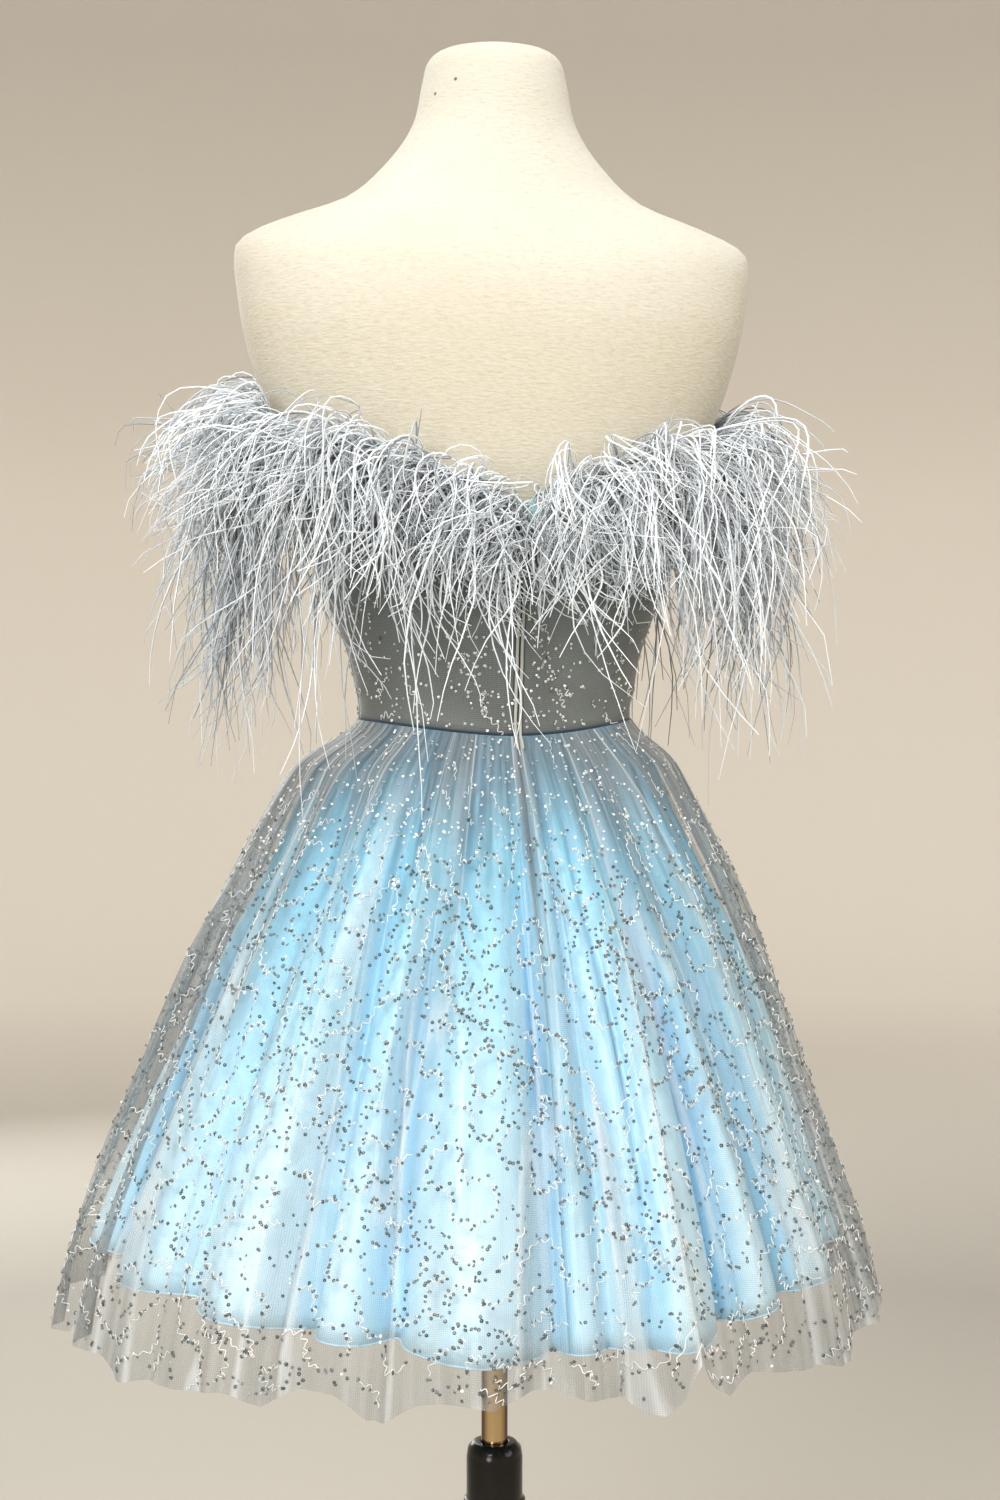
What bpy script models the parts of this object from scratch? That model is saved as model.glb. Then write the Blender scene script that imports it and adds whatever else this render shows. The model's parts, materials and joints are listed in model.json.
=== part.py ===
# Short strapless homecoming dress with a feather trim, standing on a limbless dress form.
# Metres, +Z up. The origin is the middle of the stand's underside. The figure's front faces -Y,
# its back with the zip faces +Y, and its left side is +X. Angles run from the centre back towards +X.

import math
import random

import bmesh
import bpy
from mathutils import Matrix, Vector

# Heights above the floor
WAIST = 1.040
WAIST_BACK_DIP = 0.010
NET_HEM = 0.604
SATIN_HEM = 0.652
SATIN_HEM_BACK_DIP = 0.028
SATIN_HEM_FRONT_DIP = 0.012

# Cloth and the gaps between its pieces
BODICE_WALL = 0.0015
SATIN_WALL = 0.0012
NET_WALL = 0.0010
GAP = 0.0003
SNUG_GAP = 0.0008
BUST_GAP = 0.0017
EASE_STRETCH = 0.08
NORMAL_STEP = 0.002

# Stand
POLE_RADIUS = 0.010
POLE_BOTTOM = 0.300
SOCKET_TOP = 1.000
BORE_RADIUS = 0.0105
ROUND_SIDES = 24
SLEEVE_TOP = 0.491
SLEEVE_RADIUS = 0.0213
COLUMN_TOP = 0.448
COLUMN_RADIUS = 0.0234
HUB_TOP = 0.060
HUB_RADIUS = 0.036
BASE_RADIUS = 0.170
BASE_SIDES = 36
BASE_PROFILE = (
    # radius, height
    (0.000, HUB_TOP),
    (0.032, HUB_TOP),
    (HUB_RADIUS, 0.056),
    (0.038, 0.034),
    (0.055, 0.022),
    (0.120, 0.015),
    (0.164, 0.011),
    (BASE_RADIUS, 0.006),
    (0.167, 0.000),
    (0.000, 0.000),
)
COLUMN_PROFILE = (
    # radius, height
    (BORE_RADIUS, SLEEVE_TOP),
    (0.0163, SLEEVE_TOP),
    (0.0201, 0.487),
    (SLEEVE_RADIUS, 0.480),
    (SLEEVE_RADIUS, 0.4495),
    (COLUMN_RADIUS, COLUMN_TOP),
    (COLUMN_RADIUS, HUB_TOP + GAP),
    (BORE_RADIUS, HUB_TOP + GAP),
)

# Panels: how many facets run round a quarter of the dress and up each layer
BODICE_COLUMNS = 14
BODICE_ROWS = 8
SATIN_COLUMNS = 24
SATIN_ROWS = 6
NET_COLUMNS = 36
NET_ROWS = 6
FORM_COLUMNS = 32
FORM_FINE_STRETCH = (0.960, 1.290)
FORM_FINE_ROWS = 16
SKIRT_ROW_BIAS = 1.6

# Zip
LIP_WIDTH = 0.0032
LIP_WALL = 0.0010
LIP_GAP = 0.0006
LIP_END = 1.020
SLIDER_HEIGHT = 1.186
SLIDER_SIZE = (0.0066, 0.0022, 0.0100)
PIN_RADIUS = 0.0009
PIN_LENGTH = 0.0022
EAR_WALL = 0.0010
PIN_SIDES = 12
PIN_RISE = 0.25
SLIDER_ROUNDING = 0.0006
PULL_LENGTH = 0.0200
PULL_WALL = 0.0010
PULL_END_RADIUS = 0.0024
PULL_END_STEPS = 12
PULL_STEM_HALF_WIDTH = 0.0009

# Feather trim
STRIP_WIDTH = 0.012
STRIP_WALL = 0.0015
STRIP_GAP = 0.0008
STRIP_ROWS = 3

# Form: half width, depth behind and before the pole, and how square the section is
FORM_SECTIONS = (
    # height, half_width, back, front, squareness
    (0.800, 0.135, 0.100, 0.095, 2.2),
    (0.835, 0.147, 0.113, 0.102, 2.2),
    (0.880, 0.150, 0.117, 0.104, 2.2),
    (0.940, 0.138, 0.104, 0.098, 2.2),
    (1.000, 0.112, 0.085, 0.088, 2.1),
    (1.040, 0.1015, 0.079, 0.084, 2.1),
    (1.080, 0.107, 0.083, 0.088, 2.1),
    (1.130, 0.124, 0.091, 0.097, 2.1),
    (1.180, 0.143, 0.098, 0.107, 2.2),
    (1.215, 0.155, 0.101, 0.111, 2.2),
    (1.250, 0.165, 0.103, 0.109, 2.2),
    (1.295, 0.181, 0.104, 0.101, 2.3),
    (1.333, 0.191, 0.101, 0.091, 2.4),
    (1.365, 0.196, 0.094, 0.080, 2.4),
    (1.385, 0.198, 0.086, 0.070, 2.4),
    (1.396, 0.195, 0.079, 0.062, 2.3),
    (1.405, 0.182, 0.073, 0.057, 2.2),
    (1.415, 0.158, 0.068, 0.054, 2.1),
    (1.4306, 0.116, 0.062, 0.052, 2.0),
    (1.457, 0.0847, 0.056, 0.052, 2.0),
    (1.488, 0.063, 0.052, 0.051, 2.0),
    (1.5226, 0.0547, 0.050, 0.050, 2.0),
    (1.538, 0.050, 0.046, 0.046, 2.0),
    (1.546, 0.038, 0.035, 0.035, 2.0),
    (1.549, 0.018, 0.017, 0.017, 2.0),
)
BUST_HEIGHT = 1.212
BUST_SIDE = 0.074
BUST_RISE = 0.013
BUST_SPREAD = (0.050, 0.045)

# Neckline, the same on both sides
NECKLINE = (
    # degrees from the centre back, height
    (0, 1.200),
    (20, 1.210),
    (45, 1.234),
    (90, 1.262),
    (130, 1.272),
    (155, 1.277),
    (180, 1.266),
)

# Skirt: how far the satin has flared from the waist on each side, how deep its flutes are, how far
# the net stands off the satin, and how deep the net's own folds are
SKIRT_SECTIONS = (
    # height, left, right, back, front, flute_depth, stand_off, fold_depth
    (1.040, 0.000, 0.000, 0.000, 0.000, 0.000, 0.0015, 0.000),
    (1.015, 0.012, 0.012, 0.011, 0.011, 0.001, 0.0100, 0.004),
    (0.985, 0.025, 0.022, 0.027, 0.025, 0.002, 0.0200, 0.011),
    (0.920, 0.062, 0.055, 0.062, 0.058, 0.006, 0.0240, 0.014),
    (0.871, 0.095, 0.080, 0.090, 0.086, 0.010, 0.0220, 0.014),
    (0.795, 0.140, 0.113, 0.126, 0.122, 0.016, 0.0180, 0.012),
    (0.727, 0.175, 0.139, 0.156, 0.153, 0.021, 0.0180, 0.011),
    (0.652, 0.205, 0.166, 0.184, 0.181, 0.026, 0.0190, 0.011),
    (0.590, 0.220, 0.180, 0.198, 0.195, 0.028, 0.0220, 0.016),
)

# Flutes of the satin between one inward crease and the next
FLUTES = (
    # start, end, fullness
    (3, 28, 1.00),
    (28, 42, 0.55),
    (42, 62, 0.85),
    (62, 84, 0.90),
    (84, 108, 0.80),
    (108, 131, 0.95),
    (131, 152, 0.70),
    (152, 178, 1.00),
    (178, 201, 0.80),
    (201, 226, 0.95),
    (226, 247, 0.65),
    (247, 270, 0.90),
    (270, 293, 0.85),
    (293, 317, 0.80),
    (317, 332, 0.60),
    (332, 353, 0.95),
    (353, 363, 0.40),
)
NET_FOLDS = 24
NET_FOLD_DRIFT = math.radians(3.2)
NET_FOLD_FULLNESS = 0.80
NET_FOLLOWS_SATIN = 0.75
NET_HEM_WAVE = 0.004

# Feather locks: one row of locks for each row of the strip, from the top
LOCK_PATHS = (
    # points out from the strip and up from it, for a full-length lock
    ((0.032, 0.038), (0.084, 0.024), (0.118, -0.048)),
    ((0.040, 0.002), (0.076, -0.055), (0.092, -0.140)),
    ((0.024, -0.035), (0.042, -0.115), (0.048, -0.222)),
)
LOCK_REACH = {"left": 0.92, "right": 0.78, "back": 0.76, "front": 0.78}
LOCK_LENGTHS = (0.88, 1.08)
LOCK_SWAY = 0.10
LOCK_SEED = 7
LOCK_WIDTHS = (0.62, 0.46)
LOCK_THICKNESS = (0.0038, 0.0030)


def smooth_row(table, height):
    """The table's other columns at this height, on a smooth curve through its rows."""
    rows = sorted(table)
    heights = [row[0] for row in rows]
    height = min(max(height, heights[0]), heights[-1])
    i = max(k for k in range(len(rows) - 1) if heights[k] <= height)
    before = rows[max(i - 1, 0)]
    start = rows[i]
    end = rows[i + 1]
    after = rows[min(i + 2, len(rows) - 1)]
    span = end[0] - start[0]
    t = (height - start[0]) / span
    result = []
    for a, b, c, d in zip(before[1:], start[1:], end[1:], after[1:]):
        slope_start = span * (c - a) / (end[0] - before[0])
        slope_end = span * (d - b) / (after[0] - start[0])
        result.append(
            (2 * t**3 - 3 * t**2 + 1) * b
            + (t**3 - 2 * t**2 + t) * slope_start
            + (3 * t**2 - 2 * t**3) * c
            + (t**3 - t**2) * slope_end
        )
    return result


def form_radius(angle, height):
    """Distance from the pole's axis to the form's surface."""
    half_width, back, front, squareness = smooth_row(FORM_SECTIONS, height)
    side, ahead = math.sin(angle), math.cos(angle)
    depth = back if ahead > 0 else front
    wide, deep = abs(side / half_width) ** squareness, abs(ahead / depth) ** squareness
    radius = (wide + deep) ** (-1 / squareness)
    if ahead < 0:
        across = (abs(radius * side) - BUST_SIDE) / BUST_SPREAD[0]
        up = (height - BUST_HEIGHT) / BUST_SPREAD[1]
        radius -= BUST_RISE * math.exp(-(across**2) - up**2) * ahead
    return radius


def neckline(angle):
    """Height of the bodice's top edge."""
    degrees = abs((math.degrees(angle) + 180) % 360 - 180)
    return smooth_row(NECKLINE, degrees)[0]


def waistline(angle):
    """Height of the waist seam, a little lower at the back."""
    return WAIST - WAIST_BACK_DIP * max(math.cos(angle), 0) ** 2


def below_waist(angle):
    """Height of the skirts' upper edges, a seam's gap under the bodice."""
    return waistline(angle) - GAP


def bodice_radius(angle, height):
    """Inside of the bodice: close at the waist, a little easier over the bust."""
    ease = min(max((height - WAIST) / EASE_STRETCH, 0), 1)
    return form_radius(angle, height) + SNUG_GAP + (BUST_GAP - SNUG_GAP) * ease


def flute(angle):
    """0 in the satin's inward creases, up to 1 on its fullest ridges."""
    degrees = math.degrees(angle) % 360
    if degrees < FLUTES[0][0]:
        degrees += 360
    for start, end, fullness in FLUTES:
        if start <= degrees <= end:
            return fullness * math.sin(math.pi * (degrees - start) / (end - start))
    return 0.0


def skirt_row(angle, height):
    """Flare of the satin at this place, then flute depth, stand-off and fold depth."""
    lowered = WAIST - waistline(angle)
    share = min(max((height - SATIN_HEM) / (WAIST - SATIN_HEM), 0), 1)
    row = smooth_row(SKIRT_SECTIONS, height + lowered * share)
    left, right, back, front, depth, stand_off, fold_depth = row
    side, ahead = math.sin(angle), math.cos(angle)
    flare = (left if side > 0 else right) * side**2 + (back if ahead > 0 else front) * ahead**2
    return flare, depth, stand_off, fold_depth


def satin_radius(angle, height):
    """Inside of the satin underskirt."""
    flare, depth, _, _ = skirt_row(angle, height)
    return bodice_radius(angle, waistline(angle)) + flare - depth * (1 - flute(angle))


def net_fold(angle):
    """0 between the net's folds, up to 1 on them, with uneven spacing and fullness."""
    shifted = angle + NET_FOLD_DRIFT * math.sin(4 * angle)
    fullness = NET_FOLD_FULLNESS + (1 - NET_FOLD_FULLNESS) * math.cos(7 * angle)
    return fullness * (0.5 + 0.5 * math.cos(NET_FOLDS * shifted))


def net_radius(angle, height):
    """Inside of the net overskirt."""
    flare, depth, stand_off, fold_depth = skirt_row(angle, height)
    waist = bodice_radius(angle, waistline(angle))
    follows = NET_FOLLOWS_SATIN * depth * (1 - flute(angle))
    return waist + flare + stand_off - follows - fold_depth * (1 - net_fold(angle))


def satin_hem(angle):
    """Height of the underskirt's lower edge."""
    ahead = math.cos(angle)
    dip = SATIN_HEM_BACK_DIP if ahead > 0 else SATIN_HEM_FRONT_DIP
    return SATIN_HEM - dip * ahead**2


def net_hem(angle):
    """Height of the net's lower edge, which waves a little."""
    return NET_HEM + NET_HEM_WAVE * (math.sin(3 * angle + 0.8) + math.sin(11 * angle))


def place(radius, angle, height):
    """The point of a surface at this angle and height."""
    distance = radius(angle, height)
    return Vector((distance * math.sin(angle), distance * math.cos(angle), height))


def outward(radius, angle, height):
    """The surface's outward normal."""
    across = place(radius, angle + NORMAL_STEP, height) - place(radius, angle - NORMAL_STEP, height)
    up = place(radius, angle, height + NORMAL_STEP) - place(radius, angle, height - NORMAL_STEP)
    return up.cross(across).normalized()


def level(direction):
    """A direction with its upward part taken out."""
    return Vector((direction.x, direction.y, 0)).normalized()


def make_material(name, colour, roughness, metallic=0.0):
    material = bpy.data.materials.new(name)
    material.use_nodes = True
    shader = material.node_tree.nodes["Principled BSDF"]
    shader.inputs["Base Color"].default_value = (*colour, 1)
    shader.inputs["Roughness"].default_value = roughness
    shader.inputs["Metallic"].default_value = metallic
    return material


def object_from(name, mesh, material):
    part = bpy.data.objects.new(name, mesh)
    mesh.materials.append(material)
    parts.objects.link(part)
    return part


def mesh_from(name, build):
    """Runs build on an empty bmesh and gives the mesh."""
    bm = bmesh.new()
    build(bm)
    mesh = bpy.data.meshes.new(name)
    bm.to_mesh(mesh)
    bm.free()
    return mesh


def grid(bm, points):
    """Vertices for a grid of points, row by row."""
    return [[bm.verts.new(point) for point in row] for row in points]


def close_wall(bm, inner, outer):
    """Faces of a wall between two grids, which run upwards and towards greater angles."""
    rows, columns = len(inner), len(inner[0])
    for i in range(rows - 1):
        for j in range(columns - 1):
            bm.faces.new((outer[i][j], outer[i + 1][j], outer[i + 1][j + 1], outer[i][j + 1]))
            bm.faces.new((inner[i][j], inner[i][j + 1], inner[i + 1][j + 1], inner[i + 1][j]))
    for j in range(columns - 1):
        bm.faces.new((inner[0][j], outer[0][j], outer[0][j + 1], inner[0][j + 1]))
        bm.faces.new((inner[-1][j], inner[-1][j + 1], outer[-1][j + 1], outer[-1][j]))
    for i in range(rows - 1):
        bm.faces.new((inner[i][0], inner[i + 1][0], outer[i + 1][0], outer[i][0]))
        bm.faces.new((inner[i][-1], outer[i][-1], outer[i + 1][-1], inner[i + 1][-1]))


def panel_points(radius, lower, upper, wall, span, columns, rows, bias):
    """Inner and outer points of a panel between two seams, from its lower edge up."""
    start, end = (math.radians(degrees) for degrees in span)
    inner, outer = [], []
    for i in range(rows + 1):
        rise = 1 - (1 - i / rows) ** bias
        inner.append([])
        outer.append([])
        for j in range(columns + 1):
            angle = start + (end - start) * j / columns
            height = lower(angle) + (upper(angle) - lower(angle)) * rise
            point = place(radius, angle, height)
            normal = outward(radius, angle, height)
            if i in (0, rows):
                normal = level(normal)
            along_seam = Vector((math.cos(angle), -math.sin(angle), 0))
            shift = along_seam * (GAP / 2) * ((j == 0) - (j == columns))
            inner[-1].append(point + shift)
            outer[-1].append(point + shift + normal * wall)
    return inner, outer


def panel(name, points, material):
    """A cloth panel as a closed wall."""
    inner, outer = points
    mesh = mesh_from(name, lambda bm: close_wall(bm, grid(bm, inner), grid(bm, outer)))
    return object_from(name, mesh, material)


def make_layer(name, radius, lower, upper, wall, columns, rows, bias, material):
    """One layer of the dress: a front and two backs, with seams at the sides and the centre back."""
    spans = (("back_left", (0, 90), 1), ("front", (90, 270), 2), ("back_right", (270, 360), 1))
    points = {}
    for side, span, quarters in spans:
        points[side] = panel_points(radius, lower, upper, wall, span, columns * quarters, rows, bias)
        panel(f"{name}_{side}", points[side], material)
    return points


def form_heights():
    """The form's section heights, with even steps over the stretch that the bodice covers."""
    low, high = FORM_FINE_STRETCH
    fine = [low + (high - low) * k / FORM_FINE_ROWS for k in range(FORM_FINE_ROWS + 1)]
    return sorted(fine + [row[0] for row in FORM_SECTIONS if not low <= row[0] <= high])


def make_form(material):
    """The foam form: lofted sections, with a socket for the pole cut up into its underside."""

    def loft(bm):
        rings = []
        for height in form_heights():
            half_width, back, front, squareness = smooth_row(FORM_SECTIONS, height)
            ring = []
            for j in range(FORM_COLUMNS):
                turn = 2 * math.pi * j / FORM_COLUMNS
                power = 2 / squareness
                side = half_width * math.copysign(abs(math.sin(turn)) ** power, math.sin(turn))
                depth = back if math.cos(turn) > 0 else front
                ahead = depth * math.copysign(abs(math.cos(turn)) ** power, math.cos(turn))
                ring.append(bm.verts.new(place(form_radius, math.atan2(side, ahead), height)))
            rings.append(ring)
        for low, high in zip(rings, rings[1:]):
            for j in range(FORM_COLUMNS):
                k = (j + 1) % FORM_COLUMNS
                bm.faces.new((low[j], high[j], high[k], low[k]))
        bm.faces.new(rings[0])
        bm.faces.new(reversed(rings[-1]))

    form = object_from("form_torso", mesh_from("form_torso", loft), material)
    socket_depth = SOCKET_TOP - FORM_SECTIONS[0][0]
    overshoot = 0.05
    bpy.ops.mesh.primitive_cylinder_add(
        vertices=ROUND_SIDES,
        radius=BORE_RADIUS,
        depth=socket_depth + overshoot,
        location=(0, 0, SOCKET_TOP - (socket_depth + overshoot) / 2),
    )
    cutter = bpy.context.object
    keep_as_cutter(cutter, "socket_cutter")
    cut = form.modifiers.new("socket", "BOOLEAN")
    cut.object = cutter
    cut.operation = "DIFFERENCE"
    return form


def turned(name, profile, steps, material):
    """A turned piece from its profile of radius and height, which runs down its outer side."""
    mesh = bpy.data.meshes.new(name)
    edges = [(i, i + 1) for i in range(len(profile) - 1)]
    if profile[0][0] > 0:
        edges.append((len(profile) - 1, 0))
    mesh.from_pydata([(radius, 0, height) for radius, height in profile], edges, [])
    part = object_from(name, mesh, material)
    screw = part.modifiers.new("turn", "SCREW")
    screw.steps = steps
    screw.render_steps = steps
    screw.use_merge_vertices = True
    screw.merge_threshold = 0.0001
    screw.use_normal_calculate = False
    return part


def make_stand(black, brass):
    """A round base, the black column that the pole slides in, and the brass pole."""
    turned("stand_base", BASE_PROFILE, BASE_SIDES, black)
    turned("stand_column", COLUMN_PROFILE, ROUND_SIDES, black)
    pole_top = SOCKET_TOP - GAP
    bpy.ops.mesh.primitive_cylinder_add(
        vertices=ROUND_SIDES,
        radius=POLE_RADIUS,
        depth=pole_top - POLE_BOTTOM,
        location=(0, 0, (pole_top + POLE_BOTTOM) / 2),
    )
    pole = bpy.context.object
    pole.name = "pole"
    pole.data.materials.append(brass)
    for collection in list(pole.users_collection):
        collection.objects.unlink(pole)
    parts.objects.link(pole)


def make_zip_lip(name, bodice, net, edge, inward, material):
    """One rolled lip of the zip, on the outer points of the bodice and of the net below the waist."""
    inner, outer = [], []
    top, below = net[1][-1], net[1][-2]
    drop = (top[edge].z - LIP_END) / (top[edge].z - below[edge].z)
    rows = [(net[0][-1], top, below, drop), (net[0][-1], top, below, 0)]
    rows += [(bodice[0][i], bodice[1][i], bodice[1][i], 0) for i in range(1, len(bodice[1]))]
    for back, front, lower, share in rows:
        rim = front[edge].lerp(lower[edge], share)
        beside = front[edge + inward].lerp(lower[edge + inward], share)
        out = level(front[edge] - back[edge])
        low = rim + out * LIP_GAP
        pair = [low, low + level(beside - rim) * LIP_WIDTH]
        if inward < 0:
            pair.reverse()
        inner.append(pair)
        outer.append([point + out * LIP_WALL for point in pair])
    panel(name, (inner, outer), material)


def keep_as_cutter(cutter, name):
    """Moves a helper solid to the cutters' collection."""
    cutter.name = name
    for collection in list(cutter.users_collection):
        collection.objects.unlink(cutter)
    cutters.objects.link(cutter)
    cutter.hide_render = True
    cutter.display_type = "WIRE"


def box_mesh(bm, size, centre):
    """A box from its size and its centre."""
    made = bmesh.ops.create_cube(bm, size=1)["verts"]
    bmesh.ops.scale(bm, verts=made, vec=size)
    bmesh.ops.translate(bm, verts=made, vec=centre)


def zip_place(bodice):
    """The slider's frame: its origin on the lips' outer side, Y outwards and Z up along them."""
    high, low = bodice[1][-1][0].copy(), bodice[1][-2][0].copy()
    high.x = low.x = 0
    share = (high.z - SLIDER_HEIGHT) / (high.z - low.z)
    up = (high - low).normalized()
    out = Vector((-1, 0, 0)).cross(up)
    origin = high.lerp(low, share) + out * (LIP_GAP + LIP_WALL + GAP)
    frame = Matrix((Vector((1, 0, 0)), out, up)).transposed().to_4x4()
    return Matrix.Translation(origin) @ frame


def make_slider(frame, metal):
    """The zip's slider, with two ears for the pull tab, and the tab hanging between them."""
    width, depth, height = SLIDER_SIZE
    ear_side = PIN_LENGTH / 2 + GAP + EAR_WALL / 2
    pin = Vector((0, depth + PIN_RADIUS + GAP, height * PIN_RISE))
    mesh = mesh_from("zip_slider", lambda bm: box_mesh(bm, SLIDER_SIZE, (0, depth / 2, 0)))
    slider = object_from("zip_slider", mesh, metal)
    slider.matrix_world = frame
    bevel = slider.modifiers.new("rounded edges", "BEVEL")
    bevel.width = SLIDER_ROUNDING
    bevel.segments = 1
    ear_size = (EAR_WALL, pin.y + PIN_RADIUS, PIN_RADIUS * 3)
    for side in (-1, 1):
        centre = (side * ear_side, ear_size[1] / 2 + EAR_WALL / 2, pin.z)
        ear = bpy.data.objects.new("ear", mesh_from("ear", lambda bm: box_mesh(bm, ear_size, centre)))
        keep_as_cutter(ear, f"slider_ear_{side}")
        ear.matrix_world = frame
        join = slider.modifiers.new("ear", "BOOLEAN")
        join.object = ear
        join.operation = "UNION"

    def barrel(bm):
        made = bmesh.ops.create_cone(
            bm, cap_ends=True, segments=PIN_SIDES, radius1=PIN_RADIUS, radius2=PIN_RADIUS, depth=PIN_LENGTH
        )
        turn = Matrix.Rotation(math.pi / 2, 3, "Y")
        bmesh.ops.rotate(bm, verts=made["verts"], matrix=turn, cent=(0, 0, 0))

    def drop_plate(bm):
        outline = []
        for k in range(PULL_END_STEPS + 1):
            turn = math.pi * k / PULL_END_STEPS
            drop = PULL_LENGTH - PULL_END_RADIUS * (1 - math.sin(turn))
            outline.append((PULL_END_RADIUS * math.cos(turn), -drop))
        outline += [(-PULL_STEM_HALF_WIDTH, 0.0), (PULL_STEM_HALF_WIDTH, 0.0)]
        face = bm.faces.new([bm.verts.new((x, -PULL_WALL / 2, z)) for x, z in reversed(outline)])
        made = bmesh.ops.extrude_face_region(bm, geom=[face])["geom"]
        moved = [item for item in made if isinstance(item, bmesh.types.BMVert)]
        bmesh.ops.translate(bm, verts=moved, vec=(0, PULL_WALL, 0))
        bmesh.ops.recalc_face_normals(bm, faces=bm.faces)

    pull = object_from("zip_pull", mesh_from("zip_pull", barrel), metal)
    pull.location = frame @ pin
    plate = bpy.data.objects.new("plate", mesh_from("plate", drop_plate))
    keep_as_cutter(plate, "pull_plate")
    plate.location = pull.location
    join = pull.modifiers.new("plate", "BOOLEAN")
    join.object = plate
    join.operation = "UNION"


def lock_reach(angle):
    """How long the feathers are here, as a share of the full length."""
    side = math.sin(angle)
    beside = LOCK_REACH["left" if side > 0 else "right"]
    ahead = LOCK_REACH["back" if math.cos(angle) > 0 else "front"]
    return beside * side**2 + ahead * (1 - side**2)


def strip_points(bodice):
    """Points of the feather strip on the bodice's top band, in columns from zip to zip."""
    columns = []
    for side, first, last in (("back_left", 1, 0), ("front", 1, 0), ("back_right", 1, 1)):
        inner, outer = bodice[side]
        for j in range(first, len(outer[-1]) - last):
            top, low = outer[-1][j], outer[-2][j]
            out = (top - inner[-1][j]).normalized()
            share = STRIP_WIDTH / (top - low).length
            column = []
            for k in range(STRIP_ROWS + 1):
                column.append(top.lerp(low, share * (1 - k / STRIP_ROWS)) + out * STRIP_GAP)
            columns.append((column, out))
    inner = [[column[k] for column, _ in columns] for k in range(STRIP_ROWS + 1)]
    outer = [[column[k] + out * STRIP_WALL for column, out in columns] for k in range(STRIP_ROWS + 1)]
    return inner, outer


def lock_rings(corners, row, rng):
    """Rings of four points along one lock, then its tip, from its root's four corners."""
    root = sum(corners, Vector()) / 4
    angle = math.atan2(root.x, root.y)
    out = Vector((math.sin(angle), math.cos(angle), 0))
    across = Vector((math.cos(angle), -math.sin(angle), 0))
    up = Vector((0, 0, 1))
    width = (corners[3] - corners[0]).length
    reach = lock_reach(angle) * rng.uniform(*LOCK_LENGTHS)
    sway = rng.uniform(-LOCK_SWAY, LOCK_SWAY)
    centres = [root]
    for away, rise in LOCK_PATHS[row]:
        centres.append(root + (out * away + up * rise + across * away * sway) * reach)
    rings = []
    for k, (share, thickness) in enumerate(zip(LOCK_WIDTHS, LOCK_THICKNESS)):
        centre = centres[k + 1]
        along = (centres[k + 2] - centres[k]).normalized()
        raised = across.cross(along).normalized()
        half_width = across * width * share / 2
        half_depth = raised * thickness / 2
        rings.append(
            [
                centre - half_width - half_depth,
                centre - half_width + half_depth,
                centre + half_width + half_depth,
                centre + half_width - half_depth,
            ]
        )
    return rings, centres[-1]


def make_feathers(bodice, material):
    """The trim: a narrow strip with tapering locks drawn out of its outer faces."""
    rng = random.Random(LOCK_SEED)

    def build(bm):
        inner, outer = (grid(bm, points) for points in strip_points(bodice))
        close_wall(bm, inner, outer)
        cells = []
        for i in range(STRIP_ROWS):
            for j in range(len(outer[0]) - 1):
                verts = (outer[i][j], outer[i + 1][j], outer[i + 1][j + 1], outer[i][j + 1])
                cells.append((STRIP_ROWS - 1 - i, bm.faces.get(verts)))
        for row, face in cells:
            rings, tip = lock_rings([vert.co.copy() for vert in face.verts], row, rng)
            for ring in rings:
                face = bmesh.ops.extrude_discrete_faces(bm, faces=[face])["faces"][0]
                for vert, point in zip(face.verts, ring):
                    vert.co = point
            face = bmesh.ops.extrude_discrete_faces(bm, faces=[face])["faces"][0]
            bmesh.ops.pointmerge(bm, verts=list(face.verts), merge_co=tip)

    object_from("feather_trim", mesh_from("feather_trim", build), material)


for leftover in list(bpy.data.objects):
    bpy.data.objects.remove(leftover, do_unlink=True)
parts = bpy.data.collections.new("homecoming_dress")
cutters = bpy.data.collections.new("cutters")
bpy.context.scene.collection.children.link(parts)
bpy.context.scene.collection.children.link(cutters)

linen = make_material("cream_linen", (0.84, 0.76, 0.58), 0.85)
sequin_net = make_material("sequinned_net", (0.21, 0.22, 0.19), 0.55)
satin = make_material("pale_blue_satin", (0.36, 0.68, 0.86), 0.35)
net = make_material("grey_net", (0.34, 0.37, 0.37), 0.60)
feather = make_material("grey_blue_feather", (0.46, 0.49, 0.52), 0.70)
zip_cloth = make_material("zip_tape", (0.24, 0.26, 0.24), 0.60)
silver = make_material("silver_slider", (0.62, 0.62, 0.60), 0.30, 1.0)
brass = make_material("brass_pole", (0.55, 0.36, 0.14), 0.28, 1.0)
black = make_material("black_stand", (0.012, 0.010, 0.008), 0.35)

make_form(linen)
make_stand(black, brass)
bodice_panels = make_layer(
    "bodice", bodice_radius, waistline, neckline, BODICE_WALL, BODICE_COLUMNS, BODICE_ROWS, 1, sequin_net
)
make_layer(
    "satin_skirt",
    satin_radius,
    satin_hem,
    below_waist,
    SATIN_WALL,
    SATIN_COLUMNS,
    SATIN_ROWS,
    SKIRT_ROW_BIAS,
    satin,
)
net_panels = make_layer(
    "net_skirt", net_radius, net_hem, below_waist, NET_WALL, NET_COLUMNS, NET_ROWS, SKIRT_ROW_BIAS, net
)
make_zip_lip("zip_lip_left", bodice_panels["back_left"], net_panels["back_left"], 0, 1, zip_cloth)
make_zip_lip("zip_lip_right", bodice_panels["back_right"], net_panels["back_right"], -1, -1, zip_cloth)
make_slider(zip_place(bodice_panels["back_left"]), silver)
make_feathers(bodice_panels, feather)
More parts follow.
